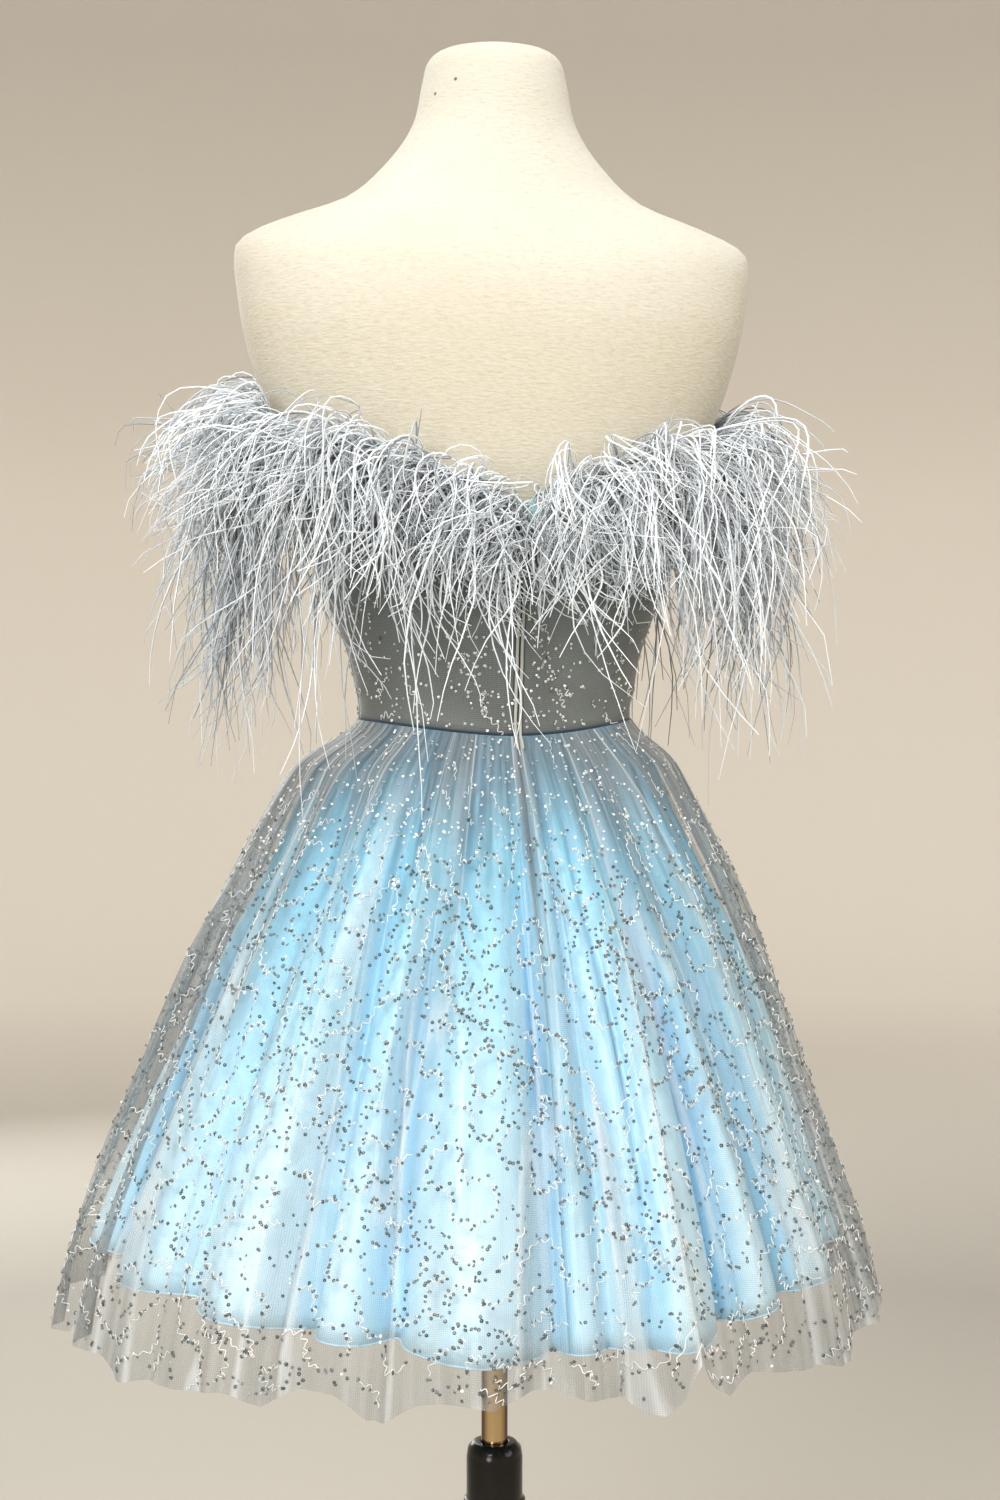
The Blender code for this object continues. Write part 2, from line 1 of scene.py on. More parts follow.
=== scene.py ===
# %% [markdown]
# # A feather-trimmed homecoming dress on its dress form
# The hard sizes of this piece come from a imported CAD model, which is loaded first and never moved. This script
# dresses it: woven cloth over the foam form, a sequinned bodice, a satin skirt under a net one, and a feather trim.
# Units are metres, +Z is up, the zip faces +Y and the figure's left side is +X. Angles run from the centre back
# towards +X, as they do in the CAD model, so one formula serves both.

import json
import math

import bmesh
import bpy
import numpy as np
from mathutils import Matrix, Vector

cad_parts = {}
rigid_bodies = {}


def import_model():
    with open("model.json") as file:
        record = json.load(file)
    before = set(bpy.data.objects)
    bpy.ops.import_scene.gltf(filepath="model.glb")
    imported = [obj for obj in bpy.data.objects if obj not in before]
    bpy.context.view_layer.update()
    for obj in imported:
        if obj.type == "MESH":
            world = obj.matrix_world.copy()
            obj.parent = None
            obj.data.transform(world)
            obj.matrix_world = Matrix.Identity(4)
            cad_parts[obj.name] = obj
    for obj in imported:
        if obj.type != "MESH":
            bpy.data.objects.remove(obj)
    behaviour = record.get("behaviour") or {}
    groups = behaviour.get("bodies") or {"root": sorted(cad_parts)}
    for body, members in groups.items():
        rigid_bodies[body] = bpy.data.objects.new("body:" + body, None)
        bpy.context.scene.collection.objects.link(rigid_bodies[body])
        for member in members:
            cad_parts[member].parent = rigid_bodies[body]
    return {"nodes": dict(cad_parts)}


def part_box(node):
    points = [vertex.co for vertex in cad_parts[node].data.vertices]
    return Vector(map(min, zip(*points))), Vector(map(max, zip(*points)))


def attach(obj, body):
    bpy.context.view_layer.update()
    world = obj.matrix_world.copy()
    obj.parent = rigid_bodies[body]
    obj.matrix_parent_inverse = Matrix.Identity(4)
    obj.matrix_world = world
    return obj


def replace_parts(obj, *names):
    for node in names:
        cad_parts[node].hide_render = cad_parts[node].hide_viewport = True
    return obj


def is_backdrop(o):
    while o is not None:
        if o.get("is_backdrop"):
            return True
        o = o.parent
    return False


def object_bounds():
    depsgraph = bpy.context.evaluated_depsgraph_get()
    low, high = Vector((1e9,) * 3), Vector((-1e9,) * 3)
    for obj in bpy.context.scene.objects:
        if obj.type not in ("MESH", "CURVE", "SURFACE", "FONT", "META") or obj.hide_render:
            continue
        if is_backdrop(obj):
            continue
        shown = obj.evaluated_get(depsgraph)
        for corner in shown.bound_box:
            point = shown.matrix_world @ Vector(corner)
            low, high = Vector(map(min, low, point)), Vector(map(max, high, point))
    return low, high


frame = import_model()
cad_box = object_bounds()
print("CAD box:", [round(value, 3) for corner in cad_box for value in corner])

# %% [markdown]
# ## Camera
# The photograph shows the dress from behind, turned a little, from about two metres away and at bust height. The
# camera stays level, so upright lines stay upright, and the picture is slid down with a small shift instead.

# %% Camera
CAMERA_TURN = math.radians(12)
CAMERA_DISTANCE = 1.9
CAMERA_HEIGHT = 1.107
LENS = 60
SHORT_SIDE, LONG_SIDE = 1000, 1500
HORIZON_ROW = 630
AXIS_COLUMN = 494.5
FARTHEST_SEEN = 60

camera = bpy.data.objects.new("camera", bpy.data.cameras.new("camera"))
bpy.context.scene.collection.objects.link(camera)
camera.data.lens = LENS
camera.data.clip_end = FARTHEST_SEEN
camera.data.shift_y = (HORIZON_ROW - LONG_SIDE / 2) / LONG_SIDE
aside = (SHORT_SIDE / 2 - AXIS_COLUMN) / (LENS / camera.data.sensor_width * LONG_SIDE)
camera.location = (
    CAMERA_DISTANCE * math.sin(CAMERA_TURN),
    CAMERA_DISTANCE * math.cos(CAMERA_TURN),
    CAMERA_HEIGHT,
)
camera.rotation_euler = (math.pi / 2, 0, math.pi - CAMERA_TURN - aside)
bpy.context.scene.camera = camera
print("camera at", [round(value, 3) for value in camera.location])

# %% [markdown]
# ## Node helpers
# Materials and Geometry Nodes are both trees of nodes. One helper adds a node, sets its options, and fills each
# input with a value or with a link, so that a tree can be read from top to bottom.


# %% Adding nodes
def add(tree, kind, inputs=None, **options):
    """A new node with its options set and its inputs filled or linked."""
    node = tree.nodes.new(kind)
    for option, value in options.items():
        setattr(node, option, value)
    for key, value in (inputs or {}).items():
        if isinstance(value, bpy.types.NodeSocket):
            tree.links.new(value, node.inputs[key])
        else:
            node.inputs[key].default_value = value
    return node


def step(tree, kind, inputs=None, **options):
    """The first output of a new node."""
    return add(tree, kind, inputs, **options).outputs[0]


def new_group(name, kind, inputs, outputs):
    """An empty node group with named sockets, and its input and output nodes."""
    tree = bpy.data.node_groups.new(name, kind)
    for title, socket_type, value in inputs:
        socket = tree.interface.new_socket(title, in_out="INPUT", socket_type=socket_type)
        if value is not None:
            socket.default_value = value
    for title, socket_type in outputs:
        tree.interface.new_socket(title, in_out="OUTPUT", socket_type=socket_type)
    return tree, tree.nodes.new("NodeGroupInput").outputs, tree.nodes.new("NodeGroupOutput").inputs


def new_material(name, **shader_values):
    """A material, its tree, and its Principled shader with plain values set."""
    material = bpy.data.materials.new(name)
    material.use_nodes = True
    tree = material.node_tree
    shader = tree.nodes["Principled BSDF"]
    for key, value in shader_values.items():
        shader.inputs[key.replace("_", " ")].default_value = value
    return material, tree, shader


def feed(tree, shader, **sockets):
    """Links a colour, value or normal that changes over the surface to each named socket of the shader."""
    for key, value in sockets.items():
        tree.links.new(value, shader.inputs[key.replace("_", " ")])


# %% [markdown]
# Most of a tree is small sums. These helpers name them: a colour between two others, a product, a value moved from
# one range to another, soft noise, and the normal of a fine relief.


# %% Small sums
def blend_colours(tree, factor, low, high):
    """A colour between two others."""
    mix = add(tree, "ShaderNodeMix", {"Factor": factor}, data_type="RGBA")
    for key, value in ((6, low), (7, high)):
        if isinstance(value, bpy.types.NodeSocket):
            tree.links.new(value, mix.inputs[key])
        else:
            mix.inputs[key].default_value = (*value, 1)
    return mix.outputs[2]


def calculate(tree, operation, *values):
    """A Math node."""
    return step(tree, "ShaderNodeMath", dict(enumerate(values)), operation=operation)


def times(tree, first, *others):
    """The product of two or more values."""
    for value in others:
        first = calculate(tree, "MULTIPLY", first, value)
    return first


def ramp(tree, value, low, high, to_low=0.0, to_high=1.0):
    """A value taken from one range to another, and held inside it."""
    inputs = {"Value": value, "From Min": low, "From Max": high, "To Min": to_low, "To Max": to_high}
    return step(tree, "ShaderNodeMapRange", inputs)


def coordinates(tree, kind="Object"):
    """A point's place on the piece in metres, or with "UV" its place along the cloth."""
    return add(tree, "ShaderNodeTexCoord").outputs[kind]


def along_axes(tree, vector):
    """The X, Y and Z of a vector."""
    return add(tree, "ShaderNodeSeparateXYZ", {0: vector}).outputs


def stretched(tree, vector, factors):
    """A vector with each of its axes multiplied by its own factor."""
    return step(tree, "ShaderNodeVectorMath", {0: vector, 1: factors}, operation="MULTIPLY")


def noise(tree, place, scale, detail=2.0, **more):
    """Soft noise, mostly between 0.3 and 0.7."""
    inputs = {"Vector": place, "Scale": scale, "Detail": detail, **more}
    return add(tree, "ShaderNodeTexNoise", inputs).outputs["Fac"]


def relief(tree, height, distance, strength=1.0, **under):
    """The normal of a fine relief, which may lie on another one's Normal."""
    inputs = {"Height": height, "Distance": distance, "Strength": strength, **under}
    return step(tree, "ShaderNodeBump", inputs)


def carried(tree, name):
    """A number that the piece's mesh carries on its points."""
    return add(tree, "ShaderNodeAttribute", attribute_name=name).outputs["Fac"]


# %% [markdown]
# ## Shared surface effects
# Three effects come back in several materials: a plain weave, slubs (the thick places in a rough yarn) and the
# hexagons of a net. Each is a shader node group that gives heights and masks. The vector that goes in is in
# metres, so each pattern has its real size.


# %% The weave group
def make_weave_group():
    """Threads over and under each other: their height, and where the warp lies on top."""
    tree, given, result = new_group(
        "plain weave",
        "ShaderNodeTree",
        [("Vector", "NodeSocketVector", None), ("Threads per metre", "NodeSocketFloat", 1200.0)],
        [("Height", "NodeSocketFloat"), ("Warp on top", "NodeSocketFloat")],
    )
    axes = along_axes(tree, given["Vector"])
    turns = times(tree, given["Threads per metre"], math.pi)
    warp = calculate(tree, "SINE", times(tree, axes["X"], turns))
    weft = calculate(tree, "SINE", times(tree, axes["Y"], turns))
    crossing = times(tree, warp, weft)
    tree.links.new(ramp(tree, crossing, -1, 1), result["Height"])
    tree.links.new(calculate(tree, "GREATER_THAN", crossing, 0.0), result["Warp on top"])
    return tree


weave_group = make_weave_group()


# %% The slub group
def make_slub_group():
    """Short level streaks of thicker yarn: their height, and the pits between them."""
    tree, given, result = new_group(
        "slubs",
        "ShaderNodeTree",
        [
            ("Vector", "NodeSocketVector", None),
            ("Slub length", "NodeSocketFloat", 0.006),
            ("Slub width", "NodeSocketFloat", 0.0018),
        ],
        [("Height", "NodeSocketFloat"), ("Pits", "NodeSocketFloat")],
    )
    across = calculate(tree, "DIVIDE", 1.0, given["Slub length"])
    upright = calculate(tree, "DIVIDE", 1.0, given["Slub width"])
    factors = step(tree, "ShaderNodeCombineXYZ", {0: across, 1: across, 2: upright})
    slubs = noise(tree, stretched(tree, given["Vector"], factors), 1.0, 3.0, Roughness=0.6)
    tree.links.new(ramp(tree, slubs, 0.3, 0.7), result["Height"])
    tree.links.new(ramp(tree, slubs, 0.40, 0.30), result["Pits"])
    return tree


slub_group = make_slub_group()


# %% The net group
def make_net_group():
    """The threads round the net's cells, and fine creases that run up the cloth."""
    tree, given, result = new_group(
        "hexagonal net",
        "ShaderNodeTree",
        [
            ("Vector", "NodeSocketVector", None),
            ("Cell size", "NodeSocketFloat", 0.0014),
            ("Thread share", "NodeSocketFloat", 0.16),
            ("Crease spacing", "NodeSocketFloat", 0.009),
        ],
        [("Thread", "NodeSocketFloat"), ("Creases", "NodeSocketFloat")],
    )
    cells = calculate(tree, "DIVIDE", 1.0, given["Cell size"])
    flat = step(tree, "ShaderNodeVectorMath", {0: given["Vector"], "Scale": cells}, operation="SCALE")
    hexagons = add(
        tree,
        "ShaderNodeTexVoronoi",
        {"Vector": flat, "Scale": 1.0, "Randomness": 0.35},
        feature="DISTANCE_TO_EDGE",
        voronoi_dimensions="2D",
    )
    thread = calculate(tree, "LESS_THAN", hexagons.outputs["Distance"], given["Thread share"])
    tree.links.new(thread, result["Thread"])
    across = calculate(tree, "DIVIDE", 1.0, given["Crease spacing"])
    factors = step(tree, "ShaderNodeCombineXYZ", {0: across, 1: times(tree, across, 0.06)})
    creases = noise(tree, stretched(tree, given["Vector"], factors), 1.0)
    tree.links.new(ramp(tree, creases, 0.35, 0.65), result["Creases"])
    return tree


net_group = make_net_group()
print("shader groups:", [group.name for group in bpy.data.node_groups])

# %% [markdown]
# A pattern can also be laid round the dress, by the angle from the centre back and by the height. The satin's
# gathers and the net's overlaps are both long upright patches of such noise.


# %% Patterns round the dress
def angle_round(tree, axes):
    """The angle from the centre back, as in the CAD model's formulas."""
    return calculate(tree, "ARCTAN2", axes["X"], axes["Y"])


def noise_round(tree, axes, per_radian, per_metre, detail):
    """Noise laid round the dress, with its own scale sideways and upwards."""
    sideways = times(tree, angle_round(tree, axes), per_radian)
    upwards = times(tree, axes["Z"], per_metre)
    return noise(tree, step(tree, "ShaderNodeCombineXYZ", {0: sideways, 1: upwards}), 1.0, detail)


# %% [markdown]
# ## The finishes
# The form is covered in a rough cream cotton with short slubs. It looks almost white where the light falls and
# warm in the shade, so the cloth itself is a light cream with darker pits between its threads. Towards the
# shoulders, where the light falls most, it is painted a little lighter. Two pin holes show on the neck.

# %% Cream cover of the form
PIN_HOLES = ((0.0374, 0.0374, 1.516), (0.0503, 0.0245, 1.507))
PIN_HOLE_EDGE = (0.0017, 0.0009)
PAINTED_LIGHT_FROM, PAINTED_LIGHT_TO = 1.32, 1.42


def make_cover_material():
    """Slubs, worn patches, a top painted lighter as painted light, and the two pin holes."""
    material, tree, shader = new_material("cream cotton cover", Roughness=0.92, Sheen_Weight=0.15)
    place = coordinates(tree)
    slubs = add(tree, "ShaderNodeGroup", node_tree=slub_group)
    tree.links.new(place, slubs.inputs["Vector"])
    cream = blend_colours(tree, slubs.outputs["Height"], (0.475, 0.44, 0.345), (0.56, 0.53, 0.445))
    # painted light: the cover is made lighter towards the shoulders, where the light falls most
    near_top = ramp(tree, along_axes(tree, place)["Z"], PAINTED_LIGHT_FROM, PAINTED_LIGHT_TO, 0.0, 0.6)
    painted_lit_top = blend_colours(tree, near_top, cream, (0.66, 0.66, 0.60))
    patches = ramp(tree, noise(tree, place, 9.0, 3.0), 0.4, 0.7, 0.0, 0.25)
    worn = blend_colours(tree, patches, painted_lit_top, (0.53, 0.46, 0.34))
    pitted = blend_colours(tree, times(tree, slubs.outputs["Pits"], 0.28), worn, (0.44, 0.36, 0.25))
    holes = 0.0
    for pin in PIN_HOLES:
        away = add(tree, "ShaderNodeVectorMath", {0: place, 1: pin}, operation="DISTANCE").outputs["Value"]
        holes = calculate(tree, "MAXIMUM", holes, ramp(tree, away, *PIN_HOLE_EDGE))
    pinned = blend_colours(tree, holes, pitted, (0.12, 0.10, 0.08))
    feed(tree, shader, Base_Color=pinned, Normal=relief(tree, slubs.outputs["Height"], 0.0005, 0.7))
    return material


cover_finish = make_cover_material()

# %% [markdown]
# Satin is smooth and glossy along its folds. A pale blue polyester satin has a soft highlight, and small ripples
# where it was pressed. Its colour is painted deeper near the waist and in the folds, as painted shade and as the
# blue light that goes back and forth between the cloth's own walls, and paler on the ridges, as a painted
# highlight. So the panels carry a number named fold: 0 deep in a crease and 1 on a ridge. Part of the skirt is
# calmer than the rest, and there the painted folds count for less. Under the waist the gathers are painted as
# dark upright patches of shade, and the centre back seam is a thin dark line that fades out on its way down.

# %% Colours of the satin
# painted shade in the recesses and painted highlight on the ridges, each given at the top and at the hem
SATIN_RECESS_SHADE = ((0.12, 0.46, 0.78), (0.28, 0.68, 0.96))
SATIN_RIDGE_HIGHLIGHT = ((0.26, 0.74, 0.96), (0.68, 0.885, 0.975))
SATIN_CLOUD = (0.52, 0.76, 1.0)
SATIN_GATHER_SHADE = (0.04, 0.155, 0.25)
SATIN_SEAM = (0.02, 0.085, 0.15)
CALM_FOLD = 0.76
CALM_TURN = 0.175


def satin_painted_fold_colour(tree, axes):
    """Painted highlight on the ridges, painted shade in the creases, and both deeper near the waist as painted
    shade.
    """
    down = ramp(tree, axes["Z"], 1.0, 0.68)
    fold = carried(tree, "fold")
    twice_round = calculate(tree, "ADD", times(tree, angle_round(tree, axes), 2.0), CALM_TURN)
    calm = ramp(tree, calculate(tree, "SINE", twice_round), -0.4, 1.0, 0.0, 0.6)
    evened = calculate(tree, "MULTIPLY_ADD", calm, calculate(tree, "SUBTRACT", CALM_FOLD, fold), fold)
    recess = blend_colours(tree, down, *SATIN_RECESS_SHADE)
    ridge = blend_colours(tree, down, *SATIN_RIDGE_HIGHLIGHT)
    return blend_colours(tree, evened, recess, ridge)


def satin_gather_shade(tree, axes):
    """1 in the painted shade of the gathers and of the band just under the waist, and 0 away from them."""
    patches = ramp(tree, noise_round(tree, axes, 9.0, 5.0, 2.0), 0.46, 0.60)
    in_gather_shade = times(tree, patches, ramp(tree, axes["Z"], 0.89, 0.99, 0.0, 0.85))
    return calculate(tree, "MAXIMUM", ramp(tree, axes["Z"], 0.955, 1.01, 0.0, 0.66), in_gather_shade)


def satin_seam(tree, axes):
    """1 along the centre back seam, which fades out downwards."""
    near = ramp(tree, calculate(tree, "ABSOLUTE", axes["X"]), 0.0032, 0.0012)
    behind = calculate(tree, "GREATER_THAN", axes["Y"], 0.0)
    return times(tree, near, behind, ramp(tree, axes["Z"], 0.82, 0.96, 0.0, 0.85))


# %% Pale blue satin
def make_satin_material():
    """The folds' colours, the gathers and the seam, over a fine weave with soft ripples."""
    material, tree, shader = new_material("pale blue satin", Sheen_Weight=0.25, Sheen_Roughness=0.35)
    place = coordinates(tree)
    axes = along_axes(tree, place)
    clouds = ramp(tree, noise(tree, place, 14.0), 0.38, 0.7, 0.0, 0.25)
    colour = blend_colours(tree, clouds, satin_painted_fold_colour(tree, axes), SATIN_CLOUD)
    # painted shade in the gathers and just under the waist
    colour = blend_colours(tree, satin_gather_shade(tree, axes), colour, SATIN_GATHER_SHADE)
    colour = blend_colours(tree, satin_seam(tree, axes), colour, SATIN_SEAM)
    weave = add(tree, "ShaderNodeGroup", {"Threads per metre": 2600.0}, node_tree=weave_group)
    tree.links.new(coordinates(tree, "UV"), weave.inputs["Vector"])
    ripples = noise(tree, place, 42.0, 3.0, Distortion=0.6)
    woven = relief(tree, weave.outputs["Height"], 0.00004, 0.4)
    pressed = relief(tree, ripples, 0.0030, 0.55, Normal=woven)
    feed(tree, shader, Base_Color=colour, Normal=pressed, Roughness=ramp(tree, ripples, 0.3, 0.7, 0.28, 0.42))
    return material


satin_finish = make_satin_material()

# %% [markdown]
# The overskirt is a grey net. From a step away its holes can't be told apart, so most of what is seen is the cloth
# behind it, with a grey veil that is thicker along fine upright creases, in the gathers under the waist and at the
# sides, at the hem, and where the net laps over itself. Alpha gives all of these. It also grows where the net is
# seen aslant, because its threads close up there. The grey is painted darker in the creases and lighter on their
# crests, as painted shade, and the doubled ridges and each lap's edge are painted pale, partly for the doubled net
# and partly as a painted highlight.

# %% Grey net
NET_GREY_AND_CREASE_SHADE = ((0.12, 0.135, 0.14), (0.30, 0.325, 0.33))
NET_DOUBLED_AND_HIGHLIGHT = (0.62, 0.66, 0.68)


def make_net_material():
    """A grey veil that is thicker in eight kinds of places, and never quite closed."""
    material, tree, shader = new_material("grey net", Roughness=0.55, Sheen_Weight=0.3)
    net = add(tree, "ShaderNodeGroup", node_tree=net_group)
    tree.links.new(coordinates(tree, "UV"), net.inputs["Vector"])
    fold = carried(tree, "fold")
    axes = along_axes(tree, coordinates(tree))
    laps = noise_round(tree, axes, 4.5, 1.6, 1.0)
    lap_edge = times(tree, ramp(tree, laps, 0.525, 0.545), ramp(tree, laps, 0.575, 0.550))
    # painted shade in the crease troughs, and pale doubled ridges and lap edges: partly doubled net, partly painted
    # highlight
    ridged = blend_colours(tree, fold, blend_colours(tree, net.outputs["Creases"], *NET_GREY_AND_CREASE_SHADE), NET_DOUBLED_AND_HIGHLIGHT)
    colour = blend_colours(tree, times(tree, lap_edge, 0.6), ridged, NET_DOUBLED_AND_HIGHLIGHT)

    to_side = calculate(tree, "ABSOLUTE", calculate(tree, "SINE", angle_round(tree, axes)))
    aslant = add(tree, "ShaderNodeLayerWeight", {"Blend": 0.35}).outputs["Facing"]
    veils = {
        "fine creases": ramp(tree, net.outputs["Creases"], 0.0, 1.0, 0.02, 0.10),
        "under the waist": ramp(tree, axes["Z"], 0.94, 1.02, 0.0, 0.30),
        "at the hem": ramp(tree, axes["Z"], 0.66, 0.61, 0.0, 0.22),
        "doubled ridges": times(tree, fold, 0.45),
        "lap edges": times(tree, lap_edge, 0.18),
        "laps": ramp(tree, laps, 0.535, 0.555, 0.0, 0.15),
        "sides": times(tree, ramp(tree, to_side, 0.90, 0.99), ramp(tree, axes["Z"], 0.70, 0.86, 0.0, 0.22)),
        "seen aslant": times(tree, ramp(tree, aslant, 0.15, 0.95), 0.42),
    }
    alpha = times(tree, net.outputs["Thread"], 0.20)
    for thicker in veils.values():
        alpha = calculate(tree, "ADD", alpha, thicker)
    feed(tree, shader, Base_Color=colour, Alpha=alpha, Normal=relief(tree, net.outputs["Creases"], 0.0012, 0.7))
    return material


net_finish = make_net_material()

# %% [markdown]
# On the bodice the same net lies flat on an olive-grey lining, so that the two read as one cloth: darker, with the
# net as a fine light grain. The waist seam is a thin dark line at its lower edge, and the cloth is dark in the
# slit of the zip. Where the feathers part over the zip, the turned-in top edge shows as pale turquoise satin.

# %% Netted bodice cloth
LINING = ((0.045, 0.052, 0.044), (0.088, 0.101, 0.092))
LIGHT_NET = (0.23, 0.255, 0.255)
WAIST_SEAM = (0.02, 0.045, 0.075)
ZIP_SHADE = (0.014, 0.022, 0.028)
TURNED_EDGE = (0.36, 0.66, 0.68)


def make_bodice_material():
    """Net over lining, with the waist seam, the zip's slit and the turned-in edge."""
    material, tree, shader = new_material("netted bodice cloth", Roughness=0.5, Sheen_Weight=0.25)
    place = coordinates(tree)
    axes = along_axes(tree, place)
    along_cloth = coordinates(tree, "UV")
    net = add(tree, "ShaderNodeGroup", {"Thread share": 0.20}, node_tree=net_group)
    tree.links.new(along_cloth, net.inputs["Vector"])
    lining = blend_colours(tree, ramp(tree, noise(tree, place, 16.0, 3.0), 0.35, 0.65), *LINING)
    netted = blend_colours(tree, times(tree, net.outputs["Thread"], 0.5), lining, LIGHT_NET)
    from_waist = along_axes(tree, along_cloth)["Y"]
    seamed = blend_colours(tree, ramp(tree, from_waist, 0.0026, 0.0012), netted, WAIST_SEAM)
    from_middle = calculate(tree, "ABSOLUTE", axes["X"])
    behind = calculate(tree, "GREATER_THAN", axes["Y"], 0.0)
    under_zip = times(tree, ramp(tree, from_middle, 0.0046, 0.0032, 0.0, 0.9), behind)
    zipped = blend_colours(tree, under_zip, seamed, ZIP_SHADE)
    near_zip = times(tree, ramp(tree, from_middle, 0.034, 0.026), behind)
    at_edge = times(tree, ramp(tree, axes["Z"], 1.180, 1.186), near_zip)
    colour = blend_colours(tree, at_edge, zipped, TURNED_EDGE)
    feed(tree, shader, Base_Color=colour, Normal=relief(tree, net.outputs["Thread"], 0.0002, 0.6))
    return material


bodice_finish = make_bodice_material()

# %% [markdown]
# Sequins are foil discs. Some catch the window and look white, others face the dark side of the room, and this
# reflection is painted into the foil's colour: each disc carries a number that the material turns into a light or
# dark painted reflection. The couched cord between them is a cream thread with a fine twist.


# %% Sequins and cord
def make_sequin_material():
    """Foil with a painted reflection, light or dark by its number, with fine specks."""
    material, tree, shader = new_material("foil sequins", Metallic=0.35)
    specks = noise(tree, coordinates(tree), 900.0)
    # painted reflection: near black foil for the dark side of the room, near white for the window
    foil = blend_colours(tree, carried(tree, "tone"), (0.016, 0.030, 0.030), (0.97, 0.98, 0.97))
    tinted = blend_colours(tree, ramp(tree, specks, 0.4, 0.8, 0.0, 0.3), foil, (0.45, 0.55, 0.58))
    feed(tree, shader, Base_Color=tinted, Roughness=ramp(tree, specks, 0.3, 0.7, 0.22, 0.4))
    return material


def make_cord_material():
    """Cream thread with a twist."""
    material, tree, shader = new_material("cream cord", Roughness=0.55, Sheen_Weight=0.4)
    twist = noise(tree, coordinates(tree), 1500.0, 1.0)
    colour = blend_colours(tree, twist, (0.62, 0.64, 0.62), (0.93, 0.94, 0.92))
    feed(tree, shader, Base_Color=colour, Normal=relief(tree, twist, 0.0002))
    return material


sequin_finish = make_sequin_material()
cord_finish = make_cord_material()

# %% [markdown]
# An ostrich plume is made of long soft barbs, dyed a pale blue-grey. Every barb carries its own tone, with
# painted shade towards its root and on the low barbs, and painted light towards its tip and on the barbs at the
# back.


# %% Feather
def make_feather_material():
    """Blue-grey barbs as light as their tone and painted light, with a soft fluff."""
    material, tree, shader = new_material("dyed ostrich feather", Roughness=0.62, Sheen_Weight=0.5)
    fluff = noise(tree, coordinates(tree), 420.0)
    barb = blend_colours(tree, carried(tree, "tone"), (0.17, 0.205, 0.23), (0.90, 0.955, 1.0))
    soft = blend_colours(tree, ramp(tree, fluff, 0.45, 0.75, 0.0, 0.4), barb, (0.50, 0.56, 0.62))
    feed(tree, shader, Base_Color=soft, Normal=relief(tree, fluff, 0.0004, 0.8))
    return material


feather_finish = make_feather_material()

# %% [markdown]
# The stand is hard: a lacquered brass pole with faint drawing lines, a glossy black sleeve and a satin black base.
# The zip's slider is polished metal and its tape is the bodice's grey.


# %% Metals and tape
def make_metal_material(name, colours, roughness, lines_per_metre, metallic=1.0, coat=0.0):
    """A metal or lacquer with faint lines that run up the piece, uneven gloss, and a painted darker reflection on
    its sides.
    """
    light, dark, edge = colours
    material, tree, shader = new_material(name, Metallic=metallic, Coat_Weight=coat, Specular_IOR_Level=0.25)
    place = coordinates(tree)
    scale = (lines_per_metre, lines_per_metre, lines_per_metre * 0.02)
    lines = noise(tree, step(tree, "ShaderNodeMapping", {"Vector": place, "Scale": scale}), 1.0)
    smears = noise(tree, place, 22.0, 3.0)
    # painted reflection: the colour turns to the darker edge colour where the piece is seen aslant
    aslant = add(tree, "ShaderNodeLayerWeight", {"Blend": 0.5}).outputs["Facing"]
    face_on = blend_colours(tree, lines, dark, light)
    feed(
        tree,
        shader,
        Base_Color=blend_colours(tree, ramp(tree, aslant, 0.14, 0.55), face_on, edge),
        Roughness=ramp(tree, smears, 0.3, 0.7, roughness * 0.8, roughness * 1.3),
        Normal=relief(tree, lines, 0.00005, 0.3),
    )
    return material


def make_tape_material():
    """Woven tape, with its weave turned upright."""
    material, tree, shader = new_material("zip tape", Roughness=0.7)
    weave = add(tree, "ShaderNodeGroup", {"Threads per metre": 1800.0}, node_tree=weave_group)
    upright = step(tree, "ShaderNodeMapping", {"Vector": coordinates(tree), "Rotation": (math.pi / 2, 0, 0)})
    tree.links.new(upright, weave.inputs["Vector"])
    colour = blend_colours(tree, weave.outputs["Height"], (0.36, 0.37, 0.34), (0.52, 0.54, 0.50))
    feed(tree, shader, Base_Color=colour, Normal=relief(tree, weave.outputs["Height"], 0.0002))
    return material


# each finish: light and dark for its lines, then the edge colour of its painted darker reflection
BRASS = ((0.70, 0.52, 0.28), (0.46, 0.30, 0.14), (0.09, 0.035, 0.015))
SLEEVE_BLACK = ((0.010, 0.008, 0.007), (0.005, 0.004, 0.003), (0.002, 0.002, 0.001))
BASE_BLACK = ((0.016, 0.014, 0.012), (0.009, 0.008, 0.007), (0.006, 0.005, 0.004))
ZIP_METAL = ((0.80, 0.80, 0.79), (0.62, 0.62, 0.62), (0.22, 0.22, 0.23))

brass_finish = make_metal_material("lacquered brass", BRASS, 0.13, 900.0)
gloss_black_finish = make_metal_material("glossy black sleeve", SLEEVE_BLACK, 0.16, 500.0, 0.0, 0.12)
satin_black_finish = make_metal_material("satin black enamel", BASE_BLACK, 0.42, 260.0, 0.0)
zip_metal_finish = make_metal_material("polished zip metal", ZIP_METAL, 0.18, 3000.0)
tape_finish = make_tape_material()
print("materials:", len(bpy.data.materials))

# %% [markdown]
# ## The dress's own measurements
# The form, the bodice and both skirts are tubes round the pole. Each is one function: at this angle and this
# height, how far is the cloth from the axis? The CAD model uses the same tables and functions, so the thin cloth
# made here lies inside the CAD walls. Arrays go in and come out, so a whole panel is worked out in one go.

# %% Measurements
WAIST = 1.040
WAIST_BACK_DIP = 0.010
NET_HEM = 0.604
SATIN_HEM = 0.652
SATIN_HEM_BACK_DIP = 0.028
SATIN_HEM_FRONT_DIP = 0.012
BODICE_WALL = 0.0015
SATIN_WALL = 0.0012
NET_WALL = 0.0010
GAP = 0.0003
SNUG_GAP = 0.0008
BUST_GAP = 0.0017
EASED_WITHIN = 0.08

